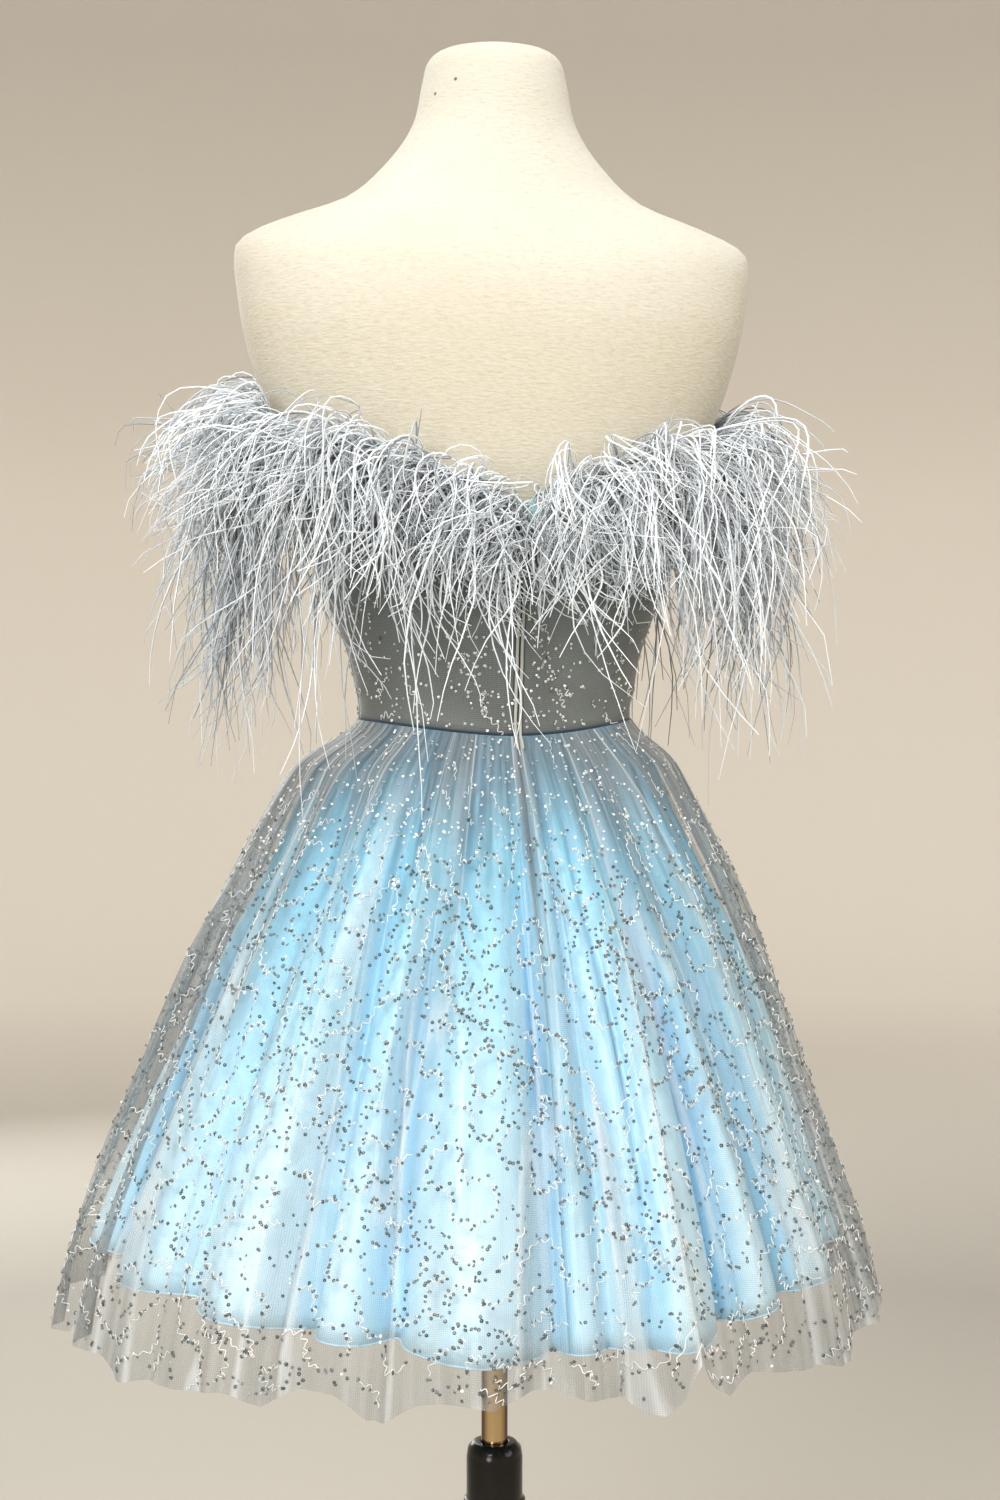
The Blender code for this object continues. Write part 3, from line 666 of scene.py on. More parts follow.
FORM_SECTIONS = (
    # height, half_width, back, front, squareness
    (0.800, 0.135, 0.100, 0.095, 2.2),
    (0.835, 0.147, 0.113, 0.102, 2.2),
    (0.880, 0.150, 0.117, 0.104, 2.2),
    (0.940, 0.138, 0.104, 0.098, 2.2),
    (1.000, 0.112, 0.085, 0.088, 2.1),
    (1.040, 0.1015, 0.079, 0.084, 2.1),
    (1.080, 0.107, 0.083, 0.088, 2.1),
    (1.130, 0.124, 0.091, 0.097, 2.1),
    (1.180, 0.143, 0.098, 0.107, 2.2),
    (1.215, 0.155, 0.101, 0.111, 2.2),
    (1.250, 0.165, 0.103, 0.109, 2.2),
    (1.295, 0.181, 0.104, 0.101, 2.3),
    (1.333, 0.191, 0.101, 0.091, 2.4),
    (1.365, 0.196, 0.094, 0.080, 2.4),
    (1.385, 0.198, 0.086, 0.070, 2.4),
    (1.396, 0.195, 0.079, 0.062, 2.3),
    (1.405, 0.182, 0.073, 0.057, 2.2),
    (1.415, 0.158, 0.068, 0.054, 2.1),
    (1.4306, 0.116, 0.062, 0.052, 2.0),
    (1.457, 0.0847, 0.056, 0.052, 2.0),
    (1.488, 0.063, 0.052, 0.051, 2.0),
    (1.5226, 0.0547, 0.050, 0.050, 2.0),
    (1.538, 0.050, 0.046, 0.046, 2.0),
    (1.546, 0.038, 0.035, 0.035, 2.0),
    (1.549, 0.018, 0.017, 0.017, 2.0),
)
BUST_HEIGHT = 1.212
BUST_SIDE = 0.074
BUST_RISE = 0.013
BUST_SPREAD = (0.050, 0.045)
NECKLINE = (
    # degrees from the centre back, height
    (0, 1.200),
    (20, 1.210),
    (45, 1.234),
    (90, 1.262),
    (130, 1.272),
    (155, 1.277),
    (180, 1.266),
)
SKIRT_SECTIONS = (
    # height, left, right, back, front, flute_depth, stand_off, fold_depth
    (1.040, 0.000, 0.000, 0.000, 0.000, 0.000, 0.0015, 0.000),
    (1.015, 0.012, 0.012, 0.011, 0.011, 0.001, 0.0100, 0.004),
    (0.985, 0.025, 0.022, 0.027, 0.025, 0.002, 0.0200, 0.011),
    (0.920, 0.062, 0.055, 0.062, 0.058, 0.006, 0.0240, 0.014),
    (0.871, 0.095, 0.080, 0.090, 0.086, 0.010, 0.0220, 0.014),
    (0.795, 0.140, 0.113, 0.126, 0.122, 0.016, 0.0180, 0.012),
    (0.727, 0.175, 0.139, 0.156, 0.153, 0.021, 0.0180, 0.011),
    (0.652, 0.205, 0.166, 0.184, 0.181, 0.026, 0.0190, 0.011),
    (0.590, 0.220, 0.180, 0.198, 0.195, 0.028, 0.0220, 0.016),
)
FLUTES = (
    # start, end, fullness
    (3, 28, 1.00),
    (28, 42, 0.55),
    (42, 62, 0.85),
    (62, 84, 0.90),
    (84, 108, 0.80),
    (108, 131, 0.95),
    (131, 152, 0.70),
    (152, 178, 1.00),
    (178, 201, 0.80),
    (201, 226, 0.95),
    (226, 247, 0.65),
    (247, 270, 0.90),
    (270, 293, 0.85),
    (293, 317, 0.80),
    (317, 332, 0.60),
    (332, 353, 0.95),
    (353, 363, 0.40),
)
NET_FOLDS = 24
NET_FOLLOWS_SATIN = 0.75


# %% Curves through a table
def smooth_columns(table, at):
    """The table's other columns where its first column is at, on smooth curves through its rows."""
    rows = np.array(sorted(table), float)
    knots = rows[:, 0]
    at = np.clip(at, knots[0], knots[-1])
    i = np.clip(np.searchsorted(knots, at, side="right") - 1, 0, len(knots) - 2)
    before, after = np.maximum(i - 1, 0), np.minimum(i + 2, len(knots) - 1)
    span = knots[i + 1] - knots[i]
    t = (at - knots[i]) / span
    columns = []
    for column in rows[:, 1:].T:
        slope_start = span * (column[i + 1] - column[before]) / (knots[i + 1] - knots[before])
        slope_end = span * (column[after] - column[i]) / (knots[after] - knots[i])
        columns.append(
            (2 * t**3 - 3 * t**2 + 1) * column[i]
            + (t**3 - 2 * t**2 + t) * slope_start
            + (3 * t**2 - 2 * t**3) * column[i + 1]
            + (t**3 - t**2) * slope_end
        )
    return columns


# %% Form and bodice
def form_radius(angle, height):
    """Distance from the pole's axis to the form's surface."""
    half_width, back, front, squareness = smooth_columns(FORM_SECTIONS, height)
    side, ahead = np.sin(angle), np.cos(angle)
    depth = np.where(ahead > 0, back, front)
    powers = np.abs(side / half_width) ** squareness + np.abs(ahead / depth) ** squareness
    radius = powers ** (-1 / squareness)
    across = (np.abs(radius * side) - BUST_SIDE) / BUST_SPREAD[0]
    up = (height - BUST_HEIGHT) / BUST_SPREAD[1]
    return radius + BUST_RISE * np.exp(-(across**2) - up**2) * np.maximum(-ahead, 0)


def neckline(angle):
    """Height of the bodice's top edge."""
    degrees = np.abs((np.degrees(angle) + 180) % 360 - 180)
    return smooth_columns(NECKLINE, degrees)[0]


def waistline(angle):
    """Height of the waist seam, a little lower at the back."""
    return WAIST - WAIST_BACK_DIP * np.maximum(np.cos(angle), 0) ** 2


def below_waist(angle):
    """Height of the skirts' upper edges, a seam's gap under the bodice."""
    return waistline(angle) - GAP


def bodice_radius(angle, height):
    """Inside of the bodice: close at the waist, a little easier over the bust."""
    ease = np.clip((height - WAIST) / EASED_WITHIN, 0, 1)
    return form_radius(angle, height) + SNUG_GAP + (BUST_GAP - SNUG_GAP) * ease


# %% Satin and net
def flute(angle):
    """0 in the satin's inward creases, up to 1 on its fullest ridges."""
    degrees = np.degrees(angle) % 360
    degrees = np.where(degrees < FLUTES[0][0], degrees + 360, degrees)
    fullness = np.zeros_like(degrees)
    for start, end, full in FLUTES:
        inside = (degrees >= start) & (degrees <= end)
        fullness = np.where(inside, full * np.sin(np.pi * (degrees - start) / (end - start)), fullness)
    return fullness


def skirt_shape(angle, height):
    """Flare of the satin at this place, then flute depth, stand-off and fold depth."""
    lowered = WAIST - waistline(angle)
    share = np.clip((height - SATIN_HEM) / (WAIST - SATIN_HEM), 0, 1)
    columns = smooth_columns(SKIRT_SECTIONS, height + lowered * share)
    left, right, back, front, depth, stand_off, fold_depth = columns
    side, ahead = np.sin(angle), np.cos(angle)
    flare = np.where(side > 0, left, right) * side**2 + np.where(ahead > 0, back, front) * ahead**2
    return flare, depth, stand_off, fold_depth


def satin_radius(angle, height):
    """Inside of the satin underskirt."""
    flare, depth, _, _ = skirt_shape(angle, height)
    return bodice_radius(angle, waistline(angle)) + flare - depth * (1 - flute(angle))


def net_fold(angle):
    """0 between the net's folds, up to 1 on them, with uneven spacing and fullness."""
    shifted = angle + math.radians(3.2) * np.sin(4 * angle)
    fullness = 0.80 + 0.20 * np.cos(7 * angle)
    return fullness * (0.5 + 0.5 * np.cos(NET_FOLDS * shifted))


def net_radius(angle, height):
    """Inside of the net overskirt."""
    flare, depth, stand_off, fold_depth = skirt_shape(angle, height)
    follows = NET_FOLLOWS_SATIN * depth * (1 - flute(angle))
    waist = bodice_radius(angle, waistline(angle))
    return waist + flare + stand_off - follows - fold_depth * (1 - net_fold(angle))


def satin_hem(angle):
    """Height of the underskirt's lower edge."""
    ahead = np.cos(angle)
    return SATIN_HEM - np.where(ahead > 0, SATIN_HEM_BACK_DIP, SATIN_HEM_FRONT_DIP) * ahead**2


def net_hem(angle):
    """Height of the net's lower edge, which waves a little."""
    return NET_HEM + 0.004 * np.sin(3 * angle + 0.8) + 0.004 * np.sin(11 * angle)


waist_radius = float(np.mean(bodice_radius(np.linspace(0, 2 * np.pi, 90), WAIST)))
print(f"waist, round the cloth: {2 * math.pi * waist_radius:.3f} m")

# %% [markdown]
# ## Creases listed one by one
# The even folds above are the skirt's build. What makes it look worn and real are single creases: sharp ridges
# in the net that start at some height and fade at another. They are listed with their own place, reach, depth and
# width, from the photograph at the back and in the same manner on the sides that it hides. Under the waist the
# gathers also push the net out at the dress's two sides, more on the left.

# %% Creases
NET_CREASES = (
    # degrees, top, bottom, rise, half_width, sharpness
    (0, 1.030, 0.880, -0.0050, 1.6, 0.0),
    (7, 0.930, 0.640, 0.0060, 2.2, 0.3),
    (-1, 0.900, 0.600, 0.0040, 1.8, 0.0),
    (-6, 1.000, 0.620, 0.0045, 2.0, 0.5),
    (-17, 0.985, 0.600, 0.0085, 2.4, 1.0),
    (-30, 0.960, 0.660, 0.0050, 3.0, 0.0),
    (-44, 0.990, 0.640, 0.0050, 2.5, 0.4),
    (-61, 0.940, 0.600, 0.0060, 3.2, 0.0),
    (-82, 0.970, 0.650, 0.0050, 2.6, 0.3),
    (20, 0.960, 0.700, 0.0040, 2.0, 0.0),
    (27, 0.900, 0.600, 0.0080, 2.2, 0.8),
    (40, 0.980, 0.620, 0.0065, 2.6, 0.5),
    (55, 0.930, 0.600, 0.0050, 2.8, 0.0),
    (71, 0.990, 0.660, 0.0055, 2.2, 0.3),
    (90, 0.950, 0.600, 0.0060, 3.0, 0.0),
    (112, 0.980, 0.640, 0.0050, 2.4, 0.6),
    (133, 0.930, 0.600, 0.0080, 2.8, 0.0),
    (151, 0.990, 0.660, 0.0050, 2.2, 0.8),
    (168, 0.940, 0.620, 0.0060, 2.6, 0.0),
    (187, 0.980, 0.600, 0.0075, 2.4, 0.7),
    (205, 0.930, 0.650, 0.0050, 3.0, 0.0),
    (224, 0.990, 0.610, 0.0060, 2.4, 0.5),
    (243, 0.950, 0.640, 0.0050, 2.8, 0.0),
    (262, 0.980, 0.600, 0.0070, 2.4, 0.7),
)
HEM_POINTS = (
    # degrees, half_width, drop
    (43, 5.0, 0.012),
    (28, 6.0, 0.016),
    (12, 7.0, 0.006),
    (-10, 4.0, 0.014),
    (-16.5, 3.0, -0.024),
    (-22, 4.0, 0.010),
    (-48, 6.0, 0.010),
    (66, 5.0, 0.010),
    (97, 7.0, 0.014),
    (128, 5.0, -0.012),
    (149, 6.0, 0.012),
    (186, 5.0, 0.010),
    (215, 6.0, 0.013),
    (238, 4.0, -0.014),
    (262, 6.0, 0.012),
    (285, 5.0, 0.008),
)
LOWEST_HEM = NET_HEM - 0.012
CREASE_START = 0.10
CREASE_END = 0.05
RIDGE_HALF_WIDTH = 0.7
CRINKLE_RISE = 0.0009
PUFF_START = 0.004
PUFF_RISES_IN = 0.032
PUFF_FADES_IN = 0.42
LEFT_PUFF = 0.021
RIGHT_PUFF = 0.012


def turn_from(angle, degrees):
    """How many degrees an angle lies from a place on the dress, either way round."""
    return (np.degrees(angle) - degrees + 180) % 360 - 180


def soft_step(value):
    """Rises smoothly from 0 to 1 as the value does."""
    value = np.clip(value, 0, 1)
    return value * value * (3 - 2 * value)


def drifting(degrees, height):
    """A crease isn't quite straight: its place wanders by a degree or two on its way down."""
    return degrees + 1.3 * np.sin(13 * height + 0.8 * degrees)


def nearness(angle, degrees, height, half_width):
    """1 on the line of a crease, falling to 0 at its half width."""
    return np.maximum(1 - np.abs(turn_from(angle, drifting(degrees, height))) / half_width, 0)


def crease_reach(height, top, bottom):
    """A net crease sets in softly below its top and fades out at its bottom."""
    return soft_step((top - height) / CREASE_START) * soft_step((height - bottom + 0.04) / CREASE_END)


def net_creases(angle, height):
    """How far the single creases lift the net."""
    lift = np.zeros(np.broadcast(angle, height).shape)
    for degrees, top, bottom, rise, half_width, _ in NET_CREASES:
        ridge = nearness(angle, degrees, height, half_width) ** 1.6
        lift = lift + rise * ridge * crease_reach(height, top, bottom)
    return lift


def net_ridges(angle, height):
    """1 along the sharp top of each outward crease, where the net lies double, and 0 elsewhere."""
    line = np.zeros(np.broadcast(angle, height).shape)
    for degrees, top, bottom, _, _, sharpness in NET_CREASES:
        near = nearness(angle, degrees, height, RIDGE_HALF_WIDTH)
        line = line + near * crease_reach(height, top, bottom) * sharpness
    return np.clip(line, 0, 1)


def net_crinkles(angle, height):
    """The net's small upright crinkles, deeper towards the hem."""
    fade = soft_step((WAIST - height) / 0.12)
    drift = 0.06 * np.sin(9 * height + 5 * np.sin(2 * angle))
    wide = np.sin(67 * (angle + drift) + 3 * np.sin(5 * angle))
    narrow = np.sin(131 * (angle - 0.6 * drift) + 14 * height)
    return CRINKLE_RISE * fade * (wide + 0.6 * narrow) * (0.7 + 0.5 * np.sin(8 * angle + 1.1))


def net_puff(angle, height):
    """How far the gathers under the waist push the net out at the dress's two sides."""
    side = np.sin(angle)
    fullest = np.where(side > 0, LEFT_PUFF, RIGHT_PUFF) * side**2
    below = WAIST - PUFF_START - height
    return fullest * soft_step(below / PUFF_RISES_IN) * (1 - soft_step(below / PUFF_FADES_IN)) ** 1.5


def net_surface(angle, height):
    """The middle of the net, with its puff, creases and crinkles."""
    folded = net_puff(angle, height) + net_creases(angle, height) + net_crinkles(angle, height)
    return net_radius(angle, height) + NET_WALL / 2 + folded


def net_edge(angle):
    """The net's raw lower edge, with its points and its notch."""
    edge = net_hem(angle)
    for degrees, half_width, drop in HEM_POINTS:
        edge = edge - drop * np.maximum(1 - np.abs(turn_from(angle, degrees)) / half_width, 0) ** 1.3
    return np.maximum(edge, LOWEST_HEM)


print("net creases:", len(NET_CREASES), "points and notches of the hem:", len(HEM_POINTS))

# %% [markdown]
# The satin underneath has pressed-in creases between its flutes, gathers under the waist and soft ripples, and it
# swells at the sides with the net. The same creases give its colour: see fold, in the satin's finish.

# %% Creases of the satin
SATIN_CREASES = (
    # degrees, top, depth, half_width
    (2.5, 1.000, 0.010, 2.5),
    (15, 0.900, 0.004, 4.0),
    (29, 0.960, 0.017, 3.5),
    (41, 1.000, 0.009, 2.5),
    (63, 0.960, 0.005, 5.0),
    (84, 0.990, 0.012, 3.5),
    (107, 0.960, 0.016, 3.5),
    (131, 1.000, 0.007, 5.0),
    (153, 0.960, 0.014, 3.0),
    (178, 0.990, 0.009, 4.5),
    (203, 0.960, 0.015, 3.5),
    (226, 1.000, 0.006, 5.0),
    (247, 0.960, 0.013, 3.0),
    (270, 0.990, 0.009, 4.0),
    (293, 0.960, 0.006, 5.0),
    (315, 1.000, 0.010, 3.0),
    (331, 0.990, 0.016, 3.0),
    (346, 0.990, 0.014, 2.5),
)
SATIN_CREASE_START = 0.22
RIPPLE_RISE = 0.0022
GATHER_RISE = 0.0016
UNEVEN_DEPTH = 0.010
LEFT_SHARE, RIGHT_SHARE = 0.9, 0.35


def satin_surface(angle, height):
    """The middle of the satin, with pressed-in creases, gathers at the waist and soft ripples below."""
    fade = soft_step((WAIST - height) / 0.2)
    ripples = np.sin(13 * angle + 9 * height) + 0.7 * np.sin(29 * angle - 12 * height + 2 * np.sin(3 * angle))
    gathers = soft_step((WAIST - height) / 0.03) * (1 - soft_step((WAIST - 0.05 - height) / 0.16))
    gathers = GATHER_RISE * gathers * np.sin(46 * angle + 2 * np.sin(7 * angle))
    pressed = np.zeros(np.broadcast(angle, height).shape)
    for degrees, top, depth, half_width in SATIN_CREASES:
        fold = nearness(angle, degrees, height, half_width) ** 1.5
        pressed = pressed + depth * fold * soft_step((top - height) / SATIN_CREASE_START)
    uneven = UNEVEN_DEPTH * (1 - flute(angle)) * (1 + 0.5 * np.sin(3 * angle + 0.7))
    deeper = uneven * soft_step((WAIST - 0.05 - height) / 0.3)
    swollen = net_puff(angle, height) * np.where(np.sin(angle) > 0, LEFT_SHARE, RIGHT_SHARE)
    lift = swollen + RIPPLE_RISE * fade * ripples + gathers - pressed - deeper
    return satin_radius(angle, height) + SATIN_WALL / 2 + lift


def satin_painted_fold(angle, height):
    """Where the satin is painted in shade or highlight: 0 deep in a crease and 1 on a ridge, with painted upright
    strands of shade and light in the gathers near the waist.
    """
    level = 0.42 + 0.62 * flute(angle) ** 0.8
    for degrees, top, depth, half_width in SATIN_CREASES:
        near = nearness(angle, degrees, height, half_width * 1.4)
        level = level - 60 * depth * near * soft_step((top - height) / SATIN_CREASE_START)
    strands = 0.5 + 0.5 * np.sin(31 * angle + 3 * np.sin(6 * angle) + 4 * height)
    upper = soft_step((height - 0.80) / 0.15)
    return np.clip(level * (1 - 0.45 * upper) + 0.45 * upper * strands, 0, 1)


print("satin creases:", len(SATIN_CREASES))

# %% [markdown]
# The bodice is drawn in across the back, so it has low level wrinkles just above the waist, which die out towards
# the sides.

# %% Wrinkles of the bodice
BODICE_WRINKLES = (
    # degrees, height, half_length in degrees, half_width, rise
    (2, 1.052, 26, 0.0050, 0.0016),
    (20, 1.066, 20, 0.0045, 0.0014),
    (-18, 1.070, 24, 0.0055, 0.0015),
    (6, 1.083, 17, 0.0045, 0.0011),
    (-35, 1.096, 18, 0.0060, 0.0011),
    (38, 1.101, 20, 0.0055, 0.0012),
    (-80, 1.060, 22, 0.0060, 0.0012),
    (82, 1.064, 24, 0.0055, 0.0012),
    (150, 1.058, 28, 0.0060, 0.0013),
    (205, 1.066, 26, 0.0055, 0.0013),
    (178, 1.082, 20, 0.0050, 0.0010),
)


def bodice_surface(angle, height):
    """The outside of the bodice, with its drawn-in wrinkles."""
    lift = np.zeros(np.broadcast(angle, height).shape)
    for degrees, middle, half_length, half_width, rise in BODICE_WRINKLES:
        turn = turn_from(angle, degrees) / half_length
        slant = middle + 0.004 * turn
        lift = lift + rise * np.exp(-(turn**2) * 2 - ((height - slant) / half_width) ** 2)
    return bodice_radius(angle, height) + BODICE_WALL * 0.6 + lift


print("bodice wrinkles:", len(BODICE_WRINKLES))

# %% [markdown]
# ## Points and grids
# A surface function becomes points, then a mesh of quads. Its UV map is in metres along the cloth, so that a net
# of 1.4 mm cells stays 1.4 mm. The UV's width is measured at one radius for the whole panel: gathered cloth is
# squeezed together at the waist, and so is its pattern.

# %% Points on a surface
NORMAL_STEP = 0.0015


def round_axis(radius, angle, height):
    """Points at a radius, an angle and a height."""
    across, ahead, up = np.broadcast_arrays(radius * np.sin(angle), radius * np.cos(angle), height)
    return np.stack([across, ahead, up], -1)


def place(surface, angle, height, lift=0.0):
    """Points of a surface, moved out along its normals by lift."""
    angle, height = np.broadcast_arrays(np.asarray(angle, float), np.asarray(height, float))

    def at(turn, rise):
        """Points on the surface itself."""
        return round_axis(surface(turn, rise), turn, rise)

    across = at(angle + NORMAL_STEP, height) - at(angle - NORMAL_STEP, height)
    up = at(angle, height + NORMAL_STEP) - at(angle, height - NORMAL_STEP)
    normals = np.cross(up, across)
    normals /= np.linalg.norm(normals, axis=-1, keepdims=True)
    return at(angle, height) + normals * np.asarray(lift)[..., None], normals


def grid_object(name, points, material, uv=None, closed=False):
    """A smooth mesh from rows of points that run upwards, with angles growing along each row."""
    rows, columns = points.shape[:2]
    index = np.arange(rows * columns).reshape(rows, columns)
    if closed:
        index = np.hstack([index, index[:, :1]])
    quads = np.stack([index[:-1, :-1], index[1:, :-1], index[1:, 1:], index[:-1, 1:]], -1).reshape(-1, 4)
    mesh = bpy.data.meshes.new(name)
    mesh.from_pydata(points.reshape(-1, 3).tolist(), [], quads.tolist())
    if uv is not None:
        corners = np.zeros(len(mesh.loops), np.int32)
        mesh.loops.foreach_get("vertex_index", corners)
        layer = mesh.uv_layers.new(name="cloth")
        layer.data.foreach_set("uv", uv.reshape(-1, 2)[corners].astype(np.float32).ravel())
    mesh.shade_smooth()
    mesh.materials.append(material)
    made = bpy.data.objects.new(name, mesh)
    bpy.context.scene.collection.objects.link(made)
    return made


def length_down(surface, upper, lower):
    """The cloth's length from its upper to its lower edge, as an average round the dress."""
    turns = np.linspace(0, 2 * np.pi, 24, endpoint=False)
    shares = np.linspace(0, 1, 60)[:, None]
    heights = upper(turns) + (lower(turns) - upper(turns)) * shares
    points, _ = place(surface, np.broadcast_to(turns, heights.shape), heights)
    return float(np.linalg.norm(np.diff(points, axis=0), axis=-1).sum(0).mean())


# %% [markdown]
# ## The dress form
# Behind the dress is a foam torso with a cloth cover: sloping shoulders with no arms, and a rounded neck cap. It
# is lofted finely through the same sections as the CAD form and closed at both ends.

# %% Form
FORM_COLUMNS = 108
FORM_ROWS = 114
SHOULDER_HEIGHT = 1.38


def make_form_cover():
    """The torso's cotton, in one closed mesh with more rows on the shoulders and neck."""
    first, last = FORM_SECTIONS[0][0], FORM_SECTIONS[-1][0]
    even = np.linspace(first, SHOULDER_HEIGHT, FORM_ROWS * 2 // 3)
    closer = (1 - np.linspace(0, 1, FORM_ROWS // 3 + 1)[1:]) ** 1.5
    top = last - (last - SHOULDER_HEIGHT) * closer
    heights = np.concatenate([even, top])[:, None]
    turns = np.linspace(0, 2 * np.pi, FORM_COLUMNS, endpoint=False)[None, :]
    radius = form_radius(turns, np.broadcast_to(heights, (len(heights), FORM_COLUMNS)))
    cover = grid_object("form_cover", round_axis(radius, turns, heights), cover_finish, closed=True)
    bm = bmesh.new()
    bm.from_mesh(cover.data)
    bmesh.ops.holes_fill(bm, edges=[edge for edge in bm.edges if edge.is_boundary], sides=0)
    bmesh.ops.recalc_face_normals(bm, faces=bm.faces)
    bm.to_mesh(cover.data)
    bm.free()
    return cover


form_cover = make_form_cover()
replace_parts(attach(form_cover, "figure"), "form_torso")
print("form cover faces:", len(form_cover.data.polygons))

# %% [markdown]
# ## Cloth panels
# Each layer is cut in three: a front and two backs, sewn at the sides and open at the centre back, where the zip
# is. The same function makes all nine panels from their surface, edges and size. A Solidify modifier gives the
# bodice and the satin a real edge, while the net stays a single sheet, because light passes it only once. The
# rows lie closer together towards the top edge, where the gathers are finest.

# %% Panels
PANEL_SPANS = (("back_left", 0, 90), ("front", 90, 270), ("back_right", 270, 360))
ROWS_CLOSE_UP = 1.25


def cloth_panel(name, surface, lower, upper, span, size, width_radius, material, thickness, fold):
    """One cut panel of cloth between two seams. size is its columns for a quarter turn, and its rows."""
    start, end = span
    columns = int(size[0] * (end - start) / 90) + 1
    seam = GAP / 2 / width_radius
    turns = np.linspace(math.radians(start) + seam, math.radians(end) - seam, columns)
    shares = 1 - (1 - np.linspace(0, 1, size[1] + 1)[:, None]) ** ROWS_CLOSE_UP
    heights = lower(turns) + (upper(turns) - lower(turns)) * shares
    turns = np.broadcast_to(turns, heights.shape)
    points, _ = place(surface, turns, heights)
    steps = np.linalg.norm(np.diff(points, axis=0), axis=-1)
    down = np.vstack([np.zeros((1, columns)), np.cumsum(steps, axis=0)])
    uv = np.stack([turns * width_radius, down], -1)
    panel = grid_object(name, points, material, uv)
    if fold:
        layer = panel.data.attributes.new("fold", "FLOAT", "POINT")
        layer.data.foreach_set("value", fold(turns, heights).astype(np.float32).ravel())
    if thickness:
        wall = panel.modifiers.new("cloth thickness", "SOLIDIFY")
        wall.thickness = thickness
        wall.offset = 0
    hem_width = float(np.linalg.norm(np.diff(points[0], axis=0), axis=-1).sum())
    top_width = float(np.linalg.norm(np.diff(points[-1], axis=0), axis=-1).sum())
    length = float(down[-1].max())
    across = np.linalg.norm(np.diff(points, axis=1), axis=-1).sum(1)
    area = float((across[:-1] + across[1:]).dot(steps.mean(1)) / 2)
    print(f"{name}: hem {hem_width:.3f} m, top {top_width:.3f} m, length {length:.3f} m, {area:.4f} m2")
    return panel, max(hem_width, top_width), length, area


def cloth_layer(layer, slot, held, rests_on, **cut):
    """The three panels of one layer, each riding on the figure."""
    made = {}
    for side, start, end in PANEL_SPANS:
        panel, width, length, area = cloth_panel(f"{layer}_{side}_cloth", span=(start, end), **cut)
        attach(panel, "figure")
        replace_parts(panel, f"{layer}_{side}")
        made[side] = panel
    return made


BODICE_WIDTH_RADIUS = 0.125
SKIRT_WIDTH_RADIUS = 0.300

bodice = cloth_layer(
    "bodice",
    "sequinned_net",
    "stretched",
    ["form_cover"],
    surface=bodice_surface,
    lower=waistline,
    upper=neckline,
    size=(44, 34),
    width_radius=BODICE_WIDTH_RADIUS,
    material=bodice_finish,
    thickness=0.0006,
    fold=None,
)
bodice_panels = [panel.name for panel in bodice.values()]
cloth_layer(
    "satin_skirt",
    "blue_satin",
    "hung",
    bodice_panels,
    surface=satin_surface,
    lower=satin_hem,
    upper=below_waist,
    size=(100, 46),
    width_radius=SKIRT_WIDTH_RADIUS,
    material=satin_finish,
    thickness=0.0005,
    fold=satin_painted_fold,
)
cloth_layer(
    "net_skirt",
    "grey_net",
    "gathered",
    bodice_panels,
    surface=net_surface,
    lower=net_edge,
    upper=below_waist,
    size=(180, 56),
    width_radius=SKIRT_WIDTH_RADIUS,
    material=net_finish,
    thickness=0.0,
    fold=net_ridges,
)

# %% [markdown]
# ## Lines made thick
# Cords, rolled edges and feather barbs are all lines with a thickness. The lines are drawn as plain edges with two
# numbers on every point, girth and a tone that carries painted light. One Geometry Nodes tree then turns any such
# drawing into tubes: the edges become curves, the curves take their radius from girth, and a small circle is
# swept along them.


# %% The tree that thickens lines
def named_attribute(tree, name, data_type):
    """A number or vector that the mesh carries on its points, inside a Geometry Nodes tree."""
    return step(tree, "GeometryNodeInputNamedAttribute", {"Name": name}, data_type=data_type)


def real_mesh(tree, geometry, given, result):
    """The end of a tree: instances made real, and the material set."""
    real = step(tree, "GeometryNodeRealizeInstances", {0: geometry})
    finished = step(tree, "GeometryNodeSetMaterial", {"Geometry": real, "Material": given["Material"]})
    tree.links.new(finished, result["Geometry"])
    return tree


